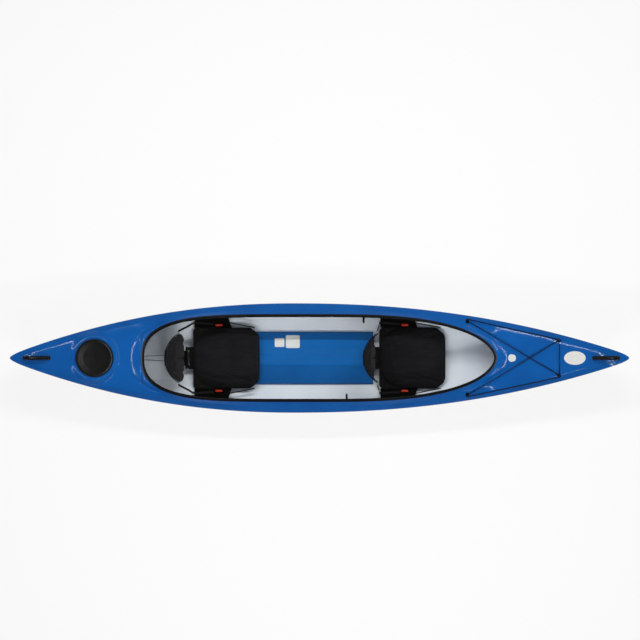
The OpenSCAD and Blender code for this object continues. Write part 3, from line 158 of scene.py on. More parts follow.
def hull_half(u, h):
    chine = chine_at(u)
    top = deck_full(u) - WALL - SEAM_GAP
    if h >= chine:
        return tip_round(u) * top * bilge(h, u)
    power = mix(1, HOLLOW["stern" if u < 0 else "bow"], ease((abs(u) - HOLLOW_FROM) / HOLLOW_OVER))
    keel = mix(FIN_HALF, KEEL_HALF, (1 - u * u) ** 2)
    return tip_round(u) * mix(keel, top * bilge(chine, u), (h / chine) ** power)


def side_of(angle):
    return np.sign(round(sin(angle), 9))


def hull_point(angle, h):
    u = cos(angle)
    drawn = 1 - sqrt(max(0.0, 1 - (1 - h) ** 2))
    pull = STERN_SWEEP * drawn if u < 0 else BOW_SWEEP * drawn + BOW_RAKE * (1 - h)
    x = u * (HALF_L - WALL - SEAM_GAP - TIP_GAP - pull)
    return Vector((x, side_of(angle) * hull_half(u, h), mix(keel_z(x), seam_z(x), h)))


print("midship half-breadth %.0f mm" % hull_half(0, 1))

# %% [markdown]
# ## Surface of the deck
#
# The deck rises from an upright lip, over a bevel, to a crown at the cockpit edge. Near
# the two ends of the cockpit the sheet rises to it as a low collar, whose slope catches
# the bright arcs that the photograph shows.

# %%
LIP_H, CROWN_TIP, CROWN_GAIN, CROWN_POWER = 14.0, 22.0, 64.0, 5
BEVEL_W, BEVEL_RISE, BEVEL_SHARE, TIP_BEVEL = 38.0, 50.0, 0.6, 30.0
TRIM_GRIP = 12.0
COCKPIT_SPREAD = 0.75
COCKPIT_CURVE = {"aft": (5, 0.4), "fwd": (3, 0.55)}
COLLAR_W, COLLAR_DROP, COLLAR_FADE = 80.0, 10.0, 95.0
COLLAR_FROM, COLLAR_OVER = 900.0, 300.0


def crown(x):
    return CROWN_TIP + CROWN_GAIN * (1 - min(1.0, abs(x) / HALF_L) ** CROWN_POWER)


def cockpit_curve(v, end):
    power, root = COCKPIT_CURVE[end]
    return max(0.0, 1 - v ** power) ** root


def cockpit_y(x):
    end, reach = ("aft", COCKPIT_AFT) if x < 0 else ("fwd", COCKPIT_FWD)
    return COCKPIT_HALF * cockpit_curve(min(1.0, x / reach), end)


def deck_z(x, y):
    half = deck_full(x / HALF_L) * tip_round(x / HALF_L)
    edge = half - abs(y)
    room = max(1.0, half - cockpit_y(x))
    bevel = min(BEVEL_W, BEVEL_SHARE * half)
    top = crown(x)
    rise = min(BEVEL_RISE, mix(LIP_H, top, BEVEL_SHARE))
    if edge <= bevel:
        return seam_z(x) + mix(LIP_H, rise, min(1.0, max(0.0, edge / max(1.0, bevel))))
    t = min(1.0, max(0.0, (edge - bevel) / max(1.0, room - bevel)))
    power = 1 + min(1.0, max(0.0, (room - 2 * BEVEL_W) / (2 * BEVEL_W)))
    return seam_z(x) + mix(rise, top, 1 - (1 - t) ** power)


def deck_normal(x, y, step=3.0):
    return Vector((
        (deck_z(x - step, y) - deck_z(x + step, y)) / (2 * step),
        (deck_z(x, y - step) - deck_z(x, y + step)) / (2 * step), 1)).normalized()


def edge_point(angle, lift):
    u = cos(angle)
    x = u * HALF_L
    return Vector((x, side_of(angle) * tip_round(u) * deck_full(u), seam_z(x) + lift))


def bevel_xy(angle):
    u = cos(angle)
    x = u * (HALF_L - TIP_BEVEL)
    full = deck_full(x / HALF_L)
    return Vector((x, side_of(angle) * tip_round(u) * (full - min(BEVEL_W, BEVEL_SHARE * full))))


def cockpit_xy(angle, inset):
    v = abs(cos(angle)) ** COCKPIT_SPREAD
    end, reach = ("fwd", COCKPIT_FWD - inset) if cos(angle) >= 0 else ("aft", COCKPIT_AFT + inset)
    return Vector((reach * v, side_of(angle) * (COCKPIT_HALF - inset) * cockpit_curve(v, end)))


def coaming_point(angle, inset, lift):
    p = cockpit_xy(angle, inset)
    return Vector((p.x, p.y, seam_z(p.x) + crown(p.x) + lift))


def collar(x, out):
    """How far the sheet has dropped at a distance from the cockpit edge, near its two ends."""
    fade = ease((COLLAR_W + COLLAR_FADE - out) / COLLAR_FADE)
    near_end = ease((abs(x) - COLLAR_FROM) / COLLAR_OVER)
    return COLLAR_DROP * near_end * min(1.0, out / COLLAR_W) ** 2 * fade


def deck_point(angle, t):
    """A point of the deck between the bevel (t = 0) and the cockpit edge (t = 1)."""
    inner = cockpit_xy(angle, 0)
    p = bevel_xy(angle).lerp(inner, t)
    out = (p - inner).length
    return Vector((p.x, p.y, deck_z(p.x, p.y) - collar(p.x, out)))


print("coaming %.0f mm high amidships" % coaming_point(pi / 2, 0, 0).z)

# %% [markdown]
# ## Mesh tools
#
# A loft is drawn as one ring of edges, extruded ring by ring, with each new ring moved
# to its place. A swept piece is a loft whose rings follow a path. Edges sharper than a
# limit stay crisp, and everything else is shaded smooth.

# %%
WELD = 0.01


def loft(bm, rings):
    """Skin through closed rings and return the rows of vertices."""
    row = [bm.verts.new(p * MM) for p in rings[0]]
    count = len(row)
    edges = [bm.edges.new((row[i], row[(i + 1) % count])) for i in range(count)]
    rows = [row]
    for ring in rings[1:]:
        place = {v: i for i, v in enumerate(rows[-1])}
        made = bmesh.ops.extrude_edge_only(bm, edges=edges)["geom"]
        fresh = [None] * count
        for v in (g for g in made if isinstance(g, bmesh.types.BMVert)):
            for e in v.link_edges:
                if e.other_vert(v) in place:
                    fresh[place[e.other_vert(v)]] = v
        for v, p in zip(fresh, ring):
            v.co = p * MM
        edges = [bm.edges.get((fresh[i], fresh[(i + 1) % count])) for i in range(count)]
        rows.append(fresh)
    return rows


def cap(bm, row):
    bmesh.ops.contextual_create(bm, geom=row)


def join_ends(bm, rows):
    """Bridge the first and the last row, so that the loft closes on itself."""
    edges = [bm.edges.get((row[i - 1], row[i])) for row in (rows[0], rows[-1]) for i in range(len(row))]
    bmesh.ops.bridge_loops(bm, edges=edges)


def sweep_rings(path, section, flat=Vector((0, 0, 1))):
    """Rings of a section, a list of (side, up) offsets or a function of 0..1, along a path."""
    rings = []
    for i, p in enumerate(path):
        along = (path[min(i + 1, len(path) - 1)] - path[max(i - 1, 0)]).normalized()
        side = flat.cross(along).normalized()
        up = along.cross(side)
        offsets = section(i / (len(path) - 1)) if callable(section) else section
        rings.append([p + side * a + up * b for a, b in offsets])
    return rings


def circle(radius, sides=16):
    return [(radius * cos(2 * pi * i / sides), radius * sin(2 * pi * i / sides)) for i in range(sides)]


def smooth_path(points, steps=6):
    """A curve through the points (Catmull-Rom)."""
    ends = [points[0] * 2 - points[1], *points, points[-1] * 2 - points[-2]]
    path = []
    for a, b, c, d in zip(ends, ends[1:], ends[2:], ends[3:]):
        for k in range(steps):
            t = k / steps
            path.append((b * 2 + (c - a) * t + (a * 2 - b * 5 + c * 4 - d) * t * t
                         + (b * 3 - a - c * 3 + d) * t * t * t) / 2)
    return path + [points[-1]]


def sweep(bm, path, section, flat=Vector((0, 0, 1))):
    rows = loft(bm, sweep_rings(path, section, flat))
    cap(bm, rows[0])
    cap(bm, rows[-1])


def piece(name, bm, material, body, sharp=35.0):
    """Turn a bmesh into an object of the scene that moves with a CAD body."""
    bmesh.ops.recalc_face_normals(bm, faces=bm.faces)
    for f in bm.faces:
        f.smooth = True
    for e in bm.edges:
        e.smooth = len(e.link_faces) != 2 or e.calc_face_angle(0) < radians(sharp)
    mesh = bpy.data.meshes.new(name)
    bm.to_mesh(mesh)
    bm.free()
    mesh.materials.append(material)
    obj = bpy.data.objects.new(name, mesh)
    bpy.context.scene.collection.objects.link(obj)
    if body:
        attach(obj, body)
    return obj


def settle(obj):
    """Turn what the modifiers show into the mesh itself."""
    shown = bpy.data.meshes.new_from_object(obj.evaluated_get(bpy.context.evaluated_depsgraph_get()))
    obj.modifiers.clear()
    obj.data = shown


print("mesh tools ready")

# %% [markdown]
# ## Materials
#
# Every finish is a small node tree, with pattern sizes taken from the real thing: the
# mould grain of black plastic, the weave of the seat cloth, the ribs of webbing. Colours
# are written as sRGB hex and turned into the linear values that the shader expects.

# %%
# Distance in metres between the bands of a wave texture at scale 1.
WAVE_SPACING = 0.314
FADE_MM, STREAK_MM, STREAK_STRETCH = 90, 6, 12


def rgba(code):
    parts = [int(code[i:i + 2], 16) / 255 for i in (1, 3, 5)]
    return (*[v / 12.92 if v <= 0.04045 else ((v + 0.055) / 1.055) ** 2.4 for v in parts], 1.0)


def add(tree, kind, sockets, **settings):
    """Add a node, set its settings, and fill its sockets with values or links."""
    node = tree.nodes.new(kind)
    for key, value in settings.items():
        setattr(node, key, value)
    for socket, value in sockets.items():
        if isinstance(value, bpy.types.NodeSocket):
            tree.links.new(value, node.inputs[socket])
        else:
            node.inputs[socket].default_value = value
    return node


def new_material(name):
    material = bpy.data.materials.new(name)
    material.use_nodes = True
    tree = material.node_tree
    tree.nodes.clear()
    place = add(tree, "ShaderNodeTexCoord", {}).outputs["Object"]
    return material, tree, place


def shade(tree, base, rough, bump=None, **more):
    sockets = {"Base Color": base, "Roughness": rough}
    if bump:
        sockets["Normal"] = bump
    sockets.update(more)
    surface = add(tree, "ShaderNodeBsdfPrincipled", sockets)
    add(tree, "ShaderNodeOutputMaterial", {"Surface": surface.outputs["BSDF"]})


def noise(tree, place, size_mm, detail=3.0):
    """Cloudy pattern with features of about size_mm."""
    return add(tree, "ShaderNodeTexNoise",
               {"Vector": place, "Scale": 1 / (size_mm * MM), "Detail": detail}).outputs["Fac"]


def tint(tree, factor, dark, light, low=0.3, high=0.7):
    ramp = add(tree, "ShaderNodeValToRGB", {"Fac": factor})
    ramp.color_ramp.elements[0].position = low
    ramp.color_ramp.elements[0].color = rgba(dark)
    ramp.color_ramp.elements[1].position = high
    ramp.color_ramp.elements[1].color = rgba(light)
    return ramp.outputs["Color"]


def ranged(tree, factor, low, high):
    return add(tree, "ShaderNodeMapRange", {"Value": factor, "To Min": low, "To Max": high}).outputs["Result"]


def bump(tree, height, depth_mm, strength=1.0):
    return add(tree, "ShaderNodeBump",
               {"Height": height, "Distance": depth_mm * MM, "Strength": strength}).outputs["Normal"]


def combine(tree, operation, a, b):
    return add(tree, "ShaderNodeMath", {0: a, 1: b}, operation=operation).outputs["Value"]


def waves(tree, place, pitch_mm, wobble, direction):
    """Bands about pitch_mm apart."""
    sockets = {"Vector": place, "Scale": WAVE_SPACING / (pitch_mm * MM), "Distortion": wobble}
    return add(tree, "ShaderNodeTexWave", sockets, bands_direction=direction).outputs["Fac"]


def moulded(name, dark, light, rough, grain_mm, grain_depth, shine=0.2, cloud_mm=260):
    """Thermoformed or injected plastic: slow colour drift, fine grain, uneven gloss."""
    material, tree, place = new_material(name)
    drift = noise(tree, place, cloud_mm)
    grain = noise(tree, place, grain_mm, 2.0)
    gloss = ranged(tree, noise(tree, place, cloud_mm / 5), rough * 0.8, rough * 1.25)
    shade(tree, tint(tree, drift, dark, light), gloss, bump(tree, grain, grain_depth),
          **{"Specular IOR Level": shine})
    return material


def woven(name, dark, light, pitch_mm, depth_mm, rough=0.85, sheen=0.04):
    """Cloth: two crossed sets of threads, with a slow fade over the piece."""
    material, tree, place = new_material(name)
    threads = [waves(tree, place, pitch_mm, 0.4, axis) for axis in ("X", "Y")]
    weave = combine(tree, "MULTIPLY", *threads)
    both = combine(tree, "ADD", weave, noise(tree, place, FADE_MM))
    shade(tree, tint(tree, both, dark, light, 0.2, 1.3), rough, bump(tree, weave, depth_mm, 0.7),
          **{"Sheen Weight": sheen, "Sheen Roughness": 0.5, "Specular IOR Level": 0.05})
    return material


def twisted(name, dark, light, pitch_mm):
    """Braided cord: diagonal strands."""
    material, tree, place = new_material(name)
    strand = waves(tree, place, pitch_mm, 1.5, "DIAGONAL")
    shade(tree, tint(tree, strand, dark, light, 0.1, 0.9), 0.7, bump(tree, strand, 0.3),
          **{"Specular IOR Level": 0.06})
    return material


def metal(name, dark, light, rough):
    """Brushed stainless: fine streaks across the piece."""
    material, tree, place = new_material(name)
    sockets = {"Vector": place, "Scale": (1, STREAK_STRETCH, STREAK_STRETCH)}
    streak = noise(tree, add(tree, "ShaderNodeMapping", sockets).outputs["Vector"], STREAK_MM)
    shade(tree, tint(tree, streak, dark, light), ranged(tree, streak, rough * 0.7, rough * 1.3),
          bump(tree, streak, 0.03), Metallic=1.0)
    return material


def foamed(name, dark, light, cell_mm):
    """Closed-cell foam: small round cells."""
    material, tree, place = new_material(name)
    sockets = {"Vector": place, "Scale": 1 / (cell_mm * MM)}
    cells = add(tree, "ShaderNodeTexVoronoi", sockets).outputs["Distance"]
    shade(tree, tint(tree, cells, dark, light, 0.0, 0.8), 0.9, bump(tree, cells, 0.4))
    return material


FINISH = {
    "hull_cream": moulded("hull_cream", "#d3cdbc", "#ddd8c9", 0.28, 2.5, 0.004, shine=0.25),
    "deck_blue": moulded("deck_blue", "#054c92", "#07549e", 0.08, 2.5, 0.008, shine=0.07),
    "floor_blue": moulded("floor_blue", "#0b5698", "#0e5ea3", 0.30, 1.2, 0.03, shine=0.08),
    "black_plastic": moulded("black_plastic", "#070706", "#0e0e0c", 0.40, 0.8, 0.04, shine=0.03),
    "black_rubber": moulded("black_rubber", "#070708", "#0d0d0e", 0.22, 1.0, 0.02, shine=0.05),
    "black_fabric": woven("black_fabric", "#0a0a0b", "#18181a", 1.4, 0.25),
    "black_cord": twisted("black_cord", "#080808", "#1a1a1a", 2.0),
    "grey_foam": foamed("grey_foam", "#7f8388", "#979ba0", 2.2),
    "steel": metal("steel", "#a4a8ac", "#c6cace", 0.28),
    "red_lever": moulded("red_lever", "#b5332a", "#c63d32", 0.4, 0.8, 0.04, shine=0.12),
}
INSIDE = moulded("hull_inside", "#d9e2ea", "#e6edf2", 0.42, 3.0, 0.03, shine=0.2)
WEBBING = woven("webbing", "#0a0a0b", "#1e1e20", 2.6, 0.4, rough=0.7)
LABEL = moulded("blank_label", "#c4c5c1", "#d0d1cd", 0.45, 1.0, 0.01)
DARK_STEEL = metal("blackened_steel", "#17181a", "#26282a", 0.4)

slots = {part["node"]: part["material_slot"] for part in frame["record"]["subparts"]}
for node, solid in frame["nodes"].items():
    solid.data.materials.clear()
    solid.data.materials.append(DARK_STEEL if node.endswith("_screws") else FINISH[slots[node]])
print("materials:", len(bpy.data.materials))

# %% [markdown]
# ## Hull
#
# The hull is a thermoformed sheet: one thickness of plastic drawn over a mould. The loft
# runs from stern to bow, and each section goes down the outside, across the keel, up the
# other side and back along the inside, so the sheet has its true thickness at the rim.

# %%
HULL_STATIONS = 150
BELOW_CHINE, ABOVE_CHINE, SIDE_SPREAD = 6, 14, 1.3
RIM_H = 10.0


def section_levels(u):
    chine = chine_at(u)
    low = [chine * k / BELOW_CHINE for k in range(BELOW_CHINE)]
    return low + [chine + (1 - chine) * (k / ABOVE_CHINE) ** SIDE_SPREAD for k in range(ABOVE_CHINE + 1)]


def port_section(angle):
    points = [hull_point(angle, h) for h in section_levels(cos(angle))]
    return points + [points[-1] + Vector((0, 0, RIM_H))]


def inner_section(before, here, after):
    """The section moved in by the sheet's thickness along the surface normal."""
    moved = []
    for k, p in enumerate(here):
        along = after[k] - before[k]
        up = here[min(k + 1, len(here) - 1)] - here[max(k - 1, 0)]
        normal = up.cross(along)
        normal = normal.normalized() if normal.length > 1e-6 else Vector((np.sign(p.x), 0, 0))
        q = p - normal * WALL
        moved.append(Vector((q.x, min(p.y, max(0.0, q.y)), q.z if k else p.z + WALL)))
    return moved


def mirrored(points):
    return [Vector((p.x, -p.y, p.z)) for p in points]


angles = [pi * (1 - i / HULL_STATIONS) for i in range(HULL_STATIONS + 1)]
outer = [port_section(a) for a in angles]
inner = [inner_section(outer[max(i - 1, 0)], outer[i], outer[min(i + 1, HULL_STATIONS)])
         for i in range(HULL_STATIONS + 1)]
rings = [o[::-1] + mirrored(o) + mirrored(i)[::-1] + i for o, i in zip(outer, inner)]
bm = bmesh.new()
rows = loft(bm, rings)
lining = {v for row in rows for v in row[2 * len(outer[0]):]}
for f in bm.faces:
    f.material_index = int(all(v in lining for v in f.verts))
bmesh.ops.remove_doubles(bm, verts=bm.verts, dist=WELD * MM)
hull = piece("moulded_hull", bm, FINISH["hull_cream"], "hull")
hull.data.materials.append(INSIDE)
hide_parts("hull_shell")
print("hull:", len(hull.data.polygons), "faces")

# %% [markdown]
# ## Deck
#
# The deck is a second moulding. Its loops run right round the boat, from the lip that
# covers the hull's rim to the edge of the cockpit, and back along the underside. The
# hole for the stern hatch is cut afterwards with a plain cylinder.

# %%
DECK_LOOP = 360
LIP_SOFT = 3.0
DECK_ROWS = 44
BEVEL_ROWS = (0.04, 0.5, 0.94)
DECK_STEPS = [1 - (1 - i / DECK_ROWS) ** 2 for i in range(1, DECK_ROWS + 1)]


def deck_profile(angle):
    lip = edge_point(angle, LIP_H)
    bevel = deck_point(angle, 0)
    upright = [edge_point(angle, 0), edge_point(angle, LIP_H - LIP_SOFT)]
    slope = [lip.lerp(bevel, share) for share in BEVEL_ROWS]
    top = [deck_point(angle, t) for t in DECK_STEPS]
    return upright + slope + top + [coaming_point(angle, TRIM_GRIP, 0)]


def underside(profiles, i):
    here, before, after = profiles[i], profiles[i - 1], profiles[(i + 1) % len(profiles)]
    under = []
    for k, p in enumerate(here):
        across = here[min(k + 1, len(here) - 1)] - here[max(k - 1, 0)]
        normal = (after[k] - before[k]).cross(across)
        under.append(p - normal.normalized() * WALL)
    return under


profiles = [deck_profile(2 * pi * i / DECK_LOOP) for i in range(DECK_LOOP)]
sheets = [profile + underside(profiles, i)[::-1] for i, profile in enumerate(profiles)]
rings = [list(ring) for ring in zip(*sheets)]
bm = bmesh.new()
rows = loft(bm, rings)
join_ends(bm, rows)
deck = piece("moulded_deck", bm, FINISH["deck_blue"], None)

ring_low, ring_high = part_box("hatch_ring")
HATCH = (ring_low + ring_high) / 2
HATCH_R = (ring_high.y - ring_low.y) / 2
HATCH_TILT, HATCH_Z = radians(2.7), 399.0
CUT_SIDES, CUT_DEPTH = 128, 200.0
CUT_R = HATCH_R + SEAM_GAP * MM
cut_frame = Matrix.Translation(HATCH) @ Matrix.Rotation(HATCH_TILT, 4, "Y")
bm = bmesh.new()
bmesh.ops.create_cone(bm, cap_ends=True, segments=CUT_SIDES, radius1=CUT_R, radius2=CUT_R,
                      depth=CUT_DEPTH * MM, matrix=cut_frame)
cutter = piece("hatch_cutter", bm, FINISH["deck_blue"], None)
cut = deck.modifiers.new("hatch_hole", "BOOLEAN")
cut.operation, cut.solver, cut.object = "DIFFERENCE", "EXACT", cutter
settle(deck)
bpy.data.objects.remove(cutter)
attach(deck, "hull")
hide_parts("deck_shell")
print("deck:", len(deck.data.polygons), "faces")

# %% [markdown]
# ## Hatch rim
#
# The rim of the stern hatch is moulded level, while the deck falls away to both sides. A
# soft flange bridges the two, and the neck inside it carries the press-on cover.

# %%
NECK_R, NECK_WALL, NECK_UP, NECK_DOWN, RIM_T = 119.0, 4.0, 8.0, -18.0, 4.0
FLANGE_R, RIM_POINTS = 186.0, 128
# Each point of the section: radius, height, and how far it follows the deck.
RIM_TOP = [(NECK_R, NECK_DOWN, 0), (NECK_R, NECK_UP, 0), (NECK_R + NECK_WALL, NECK_UP, 0),
           (NECK_R + NECK_WALL, 0.2, 0), (134, 0, 0), (142, 0.6, 0), (149, 0.9, 0.04), (156, 0.9, 0.22),
           (163, 0.8, 0.55), (170, 0.7, 0.84), (178, 0.6, 0.97), (FLANGE_R, 0.4, 1)]
RIM_UNDER = [(FLANGE_R, 0.05, 1), (164, 0.05, 1), (155, -RIM_T, 0), (NECK_R + NECK_WALL, -RIM_T, 0),
             (NECK_R + NECK_WALL, NECK_DOWN, 0)]
hatch_frame = Matrix.Translation(Vector((HATCH.x / MM, 0, HATCH_Z))) @ Matrix.Rotation(HATCH_TILT, 4, "Y")


def rim_point(angle, radius, lift, on_deck):
    level = hatch_frame @ Vector((radius * cos(angle), radius * sin(angle), lift))
    deck_level = Vector((level.x, level.y, deck_z(level.x, level.y) + lift))
    return level.lerp(deck_level, on_deck)


bm = bmesh.new()
rows = loft(bm, [[rim_point(2 * pi * i / RIM_POINTS, *spot) for i in range(RIM_POINTS)]
                 for spot in RIM_TOP + RIM_UNDER])
join_ends(bm, rows)
rim = piece("hatch_rim", bm, FINISH["deck_blue"], "hull", sharp=50)
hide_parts("hatch_ring")
print("hatch rim:", len(rim.data.polygons), "faces")

# %% [markdown]
# ## Cockpit trim
#
# A black rubber extrusion is pushed over the raw edge of the deck. Its section is a
# rounded channel, swept round the opening.

# %%
# Each point of the section: distance inside the cockpit edge, and height.
TRIM_OUTSIDE = [(0, 3.8), (12, 6.0), (20, 3.5), (22, -2.0), (20, -7.5), (12, -10.0), (3, -7.8)]
TRIM_SLOT = [(3, -4.3), (12.3, -4.3), (12.3, 0.3), (0, 0.3)]
outside = smooth_path([Vector((a, b, 0)) for a, b in TRIM_OUTSIDE], 4)
section = [(p.x, p.y) for p in outside] + TRIM_SLOT
loop = [2 * pi * i / DECK_LOOP for i in range(DECK_LOOP)]
rings = [[coaming_point(a, inset, lift) for a in loop] for inset, lift in section]
bm = bmesh.new()
rows = loft(bm, rings)
join_ends(bm, rows)
trim = piece("rubber_trim", bm, FINISH["black_rubber"], "hull", sharp=50)
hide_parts("cockpit_trim")
print("trim:", len(trim.data.polygons), "faces")

# %% [markdown]
# ## Floor panel
#
# The blue floor is a pressed sheet with two broad ribs that keep it stiff underfoot. The
# ribs fade out before the two ends, as a press leaves them.

# %%
panel_low, panel_high = box_mm("floor_panel")
RIB_H, RIB_HALF, RIB_PLACE, RIB_SLOPE, RIB_FADE = 5.0, 16.0, 36.0, 8.0, 50.0
PANEL_TOP, PANEL_EDGE, EDGE_FALL, SHEET = panel_high.z - RIB_H, 24.0, 7.0, 4.0
PANEL_STEPS, PANEL_COLUMNS = 40, 120


def panel_height(y, rib):
    ribs = ease((RIB_HALF + RIB_SLOPE / 2 - abs(abs(y) - RIB_PLACE)) / RIB_SLOPE)
    fall = ease((abs(y) - panel_high.y + EDGE_FALL) / EDGE_FALL)
    return PANEL_TOP + RIB_H * rib * ribs - (PANEL_TOP - PANEL_EDGE) * fall


across = [panel_low.y + 2 * panel_high.y * i / PANEL_COLUMNS for i in range(PANEL_COLUMNS + 1)]
rings = []
for i in range(PANEL_STEPS + 1):
    x = mix(panel_low.x, panel_high.x, i / PANEL_STEPS)
    rib = ease(min(x - panel_low.x, panel_high.x - x) / RIB_FADE)
    top = [Vector((x, y, panel_height(y, rib))) for y in across]
    rings.append(top + [p - Vector((0, 0, SHEET)) for p in reversed(top)])
bm = bmesh.new()
rows = loft(bm, rings)
cap(bm, rows[0])
cap(bm, rows[-1])
panel = piece("ribbed_floor", bm, FINISH["floor_blue"], "hull")
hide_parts("floor_panel")
print("floor:", len(panel.data.polygons), "faces")

# %% [markdown]
# ## Seat cushions and back pads
#
# A pad starts as the part's plain solid, remeshed into even cells and drawn in a little.
# The cloth solver blows it up like a stuffed cover, held where it rests on its seat or
# shell, and no point may travel further than a cap. The sewn channels are pressed in
# afterwards, along the lines that the stitches follow.

# %%
SEATS = ("rear", "front")
VOXEL, SHRINK, REST_DEPTH = 6.0, 4.0, 9.0
PUFF_FRAMES, PUFF_PRESSURE, PUFF_CAP = 20, 4.0, 8.0


def stuff(pad, rests):
    """Blow the cover up with cloth, no point moving more than the cap."""
    before = [v.co.copy() for v in pad.data.vertices]
    held = pad.vertex_groups.new(name="held")
    held.add([v.index for v in pad.data.vertices if rests(v.co / MM)], 1.0, "REPLACE")
    cloth = pad.modifiers.new("stuffing", "CLOTH")
    cloth.settings.use_pressure = True
    cloth.settings.uniform_pressure_force = PUFF_PRESSURE
    cloth.settings.effector_weights.gravity = 0
    cloth.settings.vertex_group_mass = "held"
    cloth.point_cache.frame_end = PUFF_FRAMES
    for number in range(1, PUFF_FRAMES + 1):
        bpy.context.scene.frame_set(number)
    settle(pad)
    pad.vertex_groups.clear()
    for v, home in zip(pad.data.vertices, before):
        step = v.co - home
        v.co = home + step * min(1.0, PUFF_CAP * MM / max(step.length, 1e-9))
    bpy.context.scene.frame_set(1)


def along_normals(pad, depth_mm):
    """Move each point in along its normal by a depth that is a function of place and normal."""
    normals = [v.normal.copy() for v in pad.data.vertices]
    for v, normal in zip(pad.data.vertices, normals):
        v.co -= normal * depth_mm(v.co / MM, normal) * MM


def padded(name, node, body, rests, press):
    bm = bmesh.new()
    bm.from_mesh(frame["nodes"][node].data)
    bmesh.ops.remove_doubles(bm, verts=bm.verts, dist=WELD * MM)
    pad = piece(name, bm, FINISH["black_fabric"], None)
    even = pad.modifiers.new("even_cells", "REMESH")
    even.mode, even.voxel_size, even.use_smooth_shade = "VOXEL", VOXEL * MM, True
    settle(pad)
    along_normals(pad, lambda p, normal: 0.0 if rests(p) else SHRINK)
    stuff(pad, rests)
    along_normals(pad, press)
    for f in pad.data.polygons:
        f.use_smooth = True
    smooth = pad.modifiers.new("smooth", "SUBSURF")
    smooth.levels = smooth.render_levels = 1
    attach(pad, body)
    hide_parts(node)
    return pad


def groove(distance, depth, width):
    return depth * np.exp(-(distance / width) ** 2)


STITCH_DEPTH, STITCH_W = 6.0, 7.0
FACING_UP, FOLDS = 0.3, (-2, -1, 0, 1, 2)
FOLD_STEP, FOLD_GROWTH = 16.0, 12.0
FAN_AFT, FAN_FORE, FAN_LEAST, FAN_GAIN = 60.0, 10.0, 0.55, 0.75
FADE_AFT, FADE_AFT_OVER, FADE_FORE, FADE_FORE_OVER = 50.0, 60.0, 45.0, 20.0
CROSS_SEAM, CROSS_DEPTH = 32.0, 0.8 * STITCH_DEPTH
for end in SEATS:
    low, high = box_mm("%s_seat_cushion" % end)

    def on_pan(p, floor=low.z + REST_DEPTH):
        return p.z < floor

    def folds(p, normal, low=low, high=high):
        if normal.z < FACING_UP:
            return 0.0
        aft, fore = p.x - low.x, high.x - p.x
        fan = FAN_LEAST + FAN_GAIN * ease((aft - FAN_AFT) / (high.x - low.x - FAN_AFT - FAN_FORE))
        places = [(FOLD_STEP + FOLD_GROWTH * k * k) * k * fan for k in FOLDS]
        deepest = max(groove(p.y - y, STITCH_DEPTH, STITCH_W) for y in places)
        fade = ease((aft - FADE_AFT) / FADE_AFT_OVER) * ease((fore - FADE_FORE) / FADE_FORE_OVER)
        return deepest * fade + groove(fore - CROSS_SEAM, CROSS_DEPTH, STITCH_W)

    cushion = padded("%s_cushion" % end, "%s_seat_cushion" % end, "hull", on_pan, folds)
    print(cushion.name, len(cushion.data.polygons), "faces")

SHELL_R = 194.5
FACING_BOW, QUILT_PLACE, QUILT_DEPTH = 0.2, 0.6, 0.2 * STITCH_DEPTH
for end in SEATS:
    low, high = box_mm("%s_backrest_pad" % end)
    shell_x = low.x + SHELL_R

    def on_shell(p, centre=shell_x):
        return sqrt((p.x - centre) ** 2 + p.y ** 2) > SHELL_R - REST_DEPTH and p.x < centre

    def quilting(p, normal, half=high.y):
        if normal.x < FACING_BOW:
            return 0.0
        return max(groove(p.y - k * QUILT_PLACE * half, QUILT_DEPTH, STITCH_W) for k in (-1, 0, 1))

    pad = padded("%s_pad" % end, "%s_backrest_pad" % end, "%s_backrest" % end, on_shell, quilting)
    print(pad.name, len(pad.data.polygons), "faces")

# %% [markdown]
# ## Straps and cords of the seats
#
# Webbing is a thin flat ribbon and the cords are round.

# %%
# A seat's wing leans outward from its foot along this direction, as (y, z).
WING, WING_FOOT = (0.6046, 0.7965), (210.0, 78.0)
# Places on a wing: distance ahead of the hinge, way up the wing, and lift off its face.
STRAP_EDGE, STRAP_MID, STRAP_CLIP = (54, 58, 4), (120.8, 50, 2.7), (187.5, 42, 1.4)
LEG_TOP, LEG_NEXT = (292, 60, 2), (312, 54, 3)
LEG_END = Vector((470, 209, 97))
SEWN = Vector((97, 184, 262))
WEB, THIN_WEB, CORD = (22.0, 2.0), (12.0, 2.0), 2.0
CORD_Z, CORD_SAG, CORD_STEPS = 330.0, 6.0, 16
CORD_FORE_Y, CORD_AFT_Y = 20.0, 8.0
PIN_R = 4.0


def wing_point(hinge, spot):
    ahead, way, lift = spot
    y = WING_FOOT[0] + WING[0] * way - WING[1] * lift
    return Vector((hinge + ahead, y, WING_FOOT[1] + WING[1] * way + WING[0] * lift))


def ribbon(size):
    """Section of a strap, with rounded edges."""
    half, thick = size[0] / 2, size[1] / 2
    return [(-thick, -half + thick), (0, -half), (thick, -half + thick),
            (thick, half - thick), (0, half), (-thick, half - thick)]


def webbing(name, path, size, body):
    bm = bmesh.new()
    for s in (1, -1):
        side = [Vector((p.x, s * p.y, p.z)) for p in path]
        sweep(bm, side, ribbon(size), Vector((0, s * WING[0], WING[1])))
    return piece(name, bm, WEBBING, body)


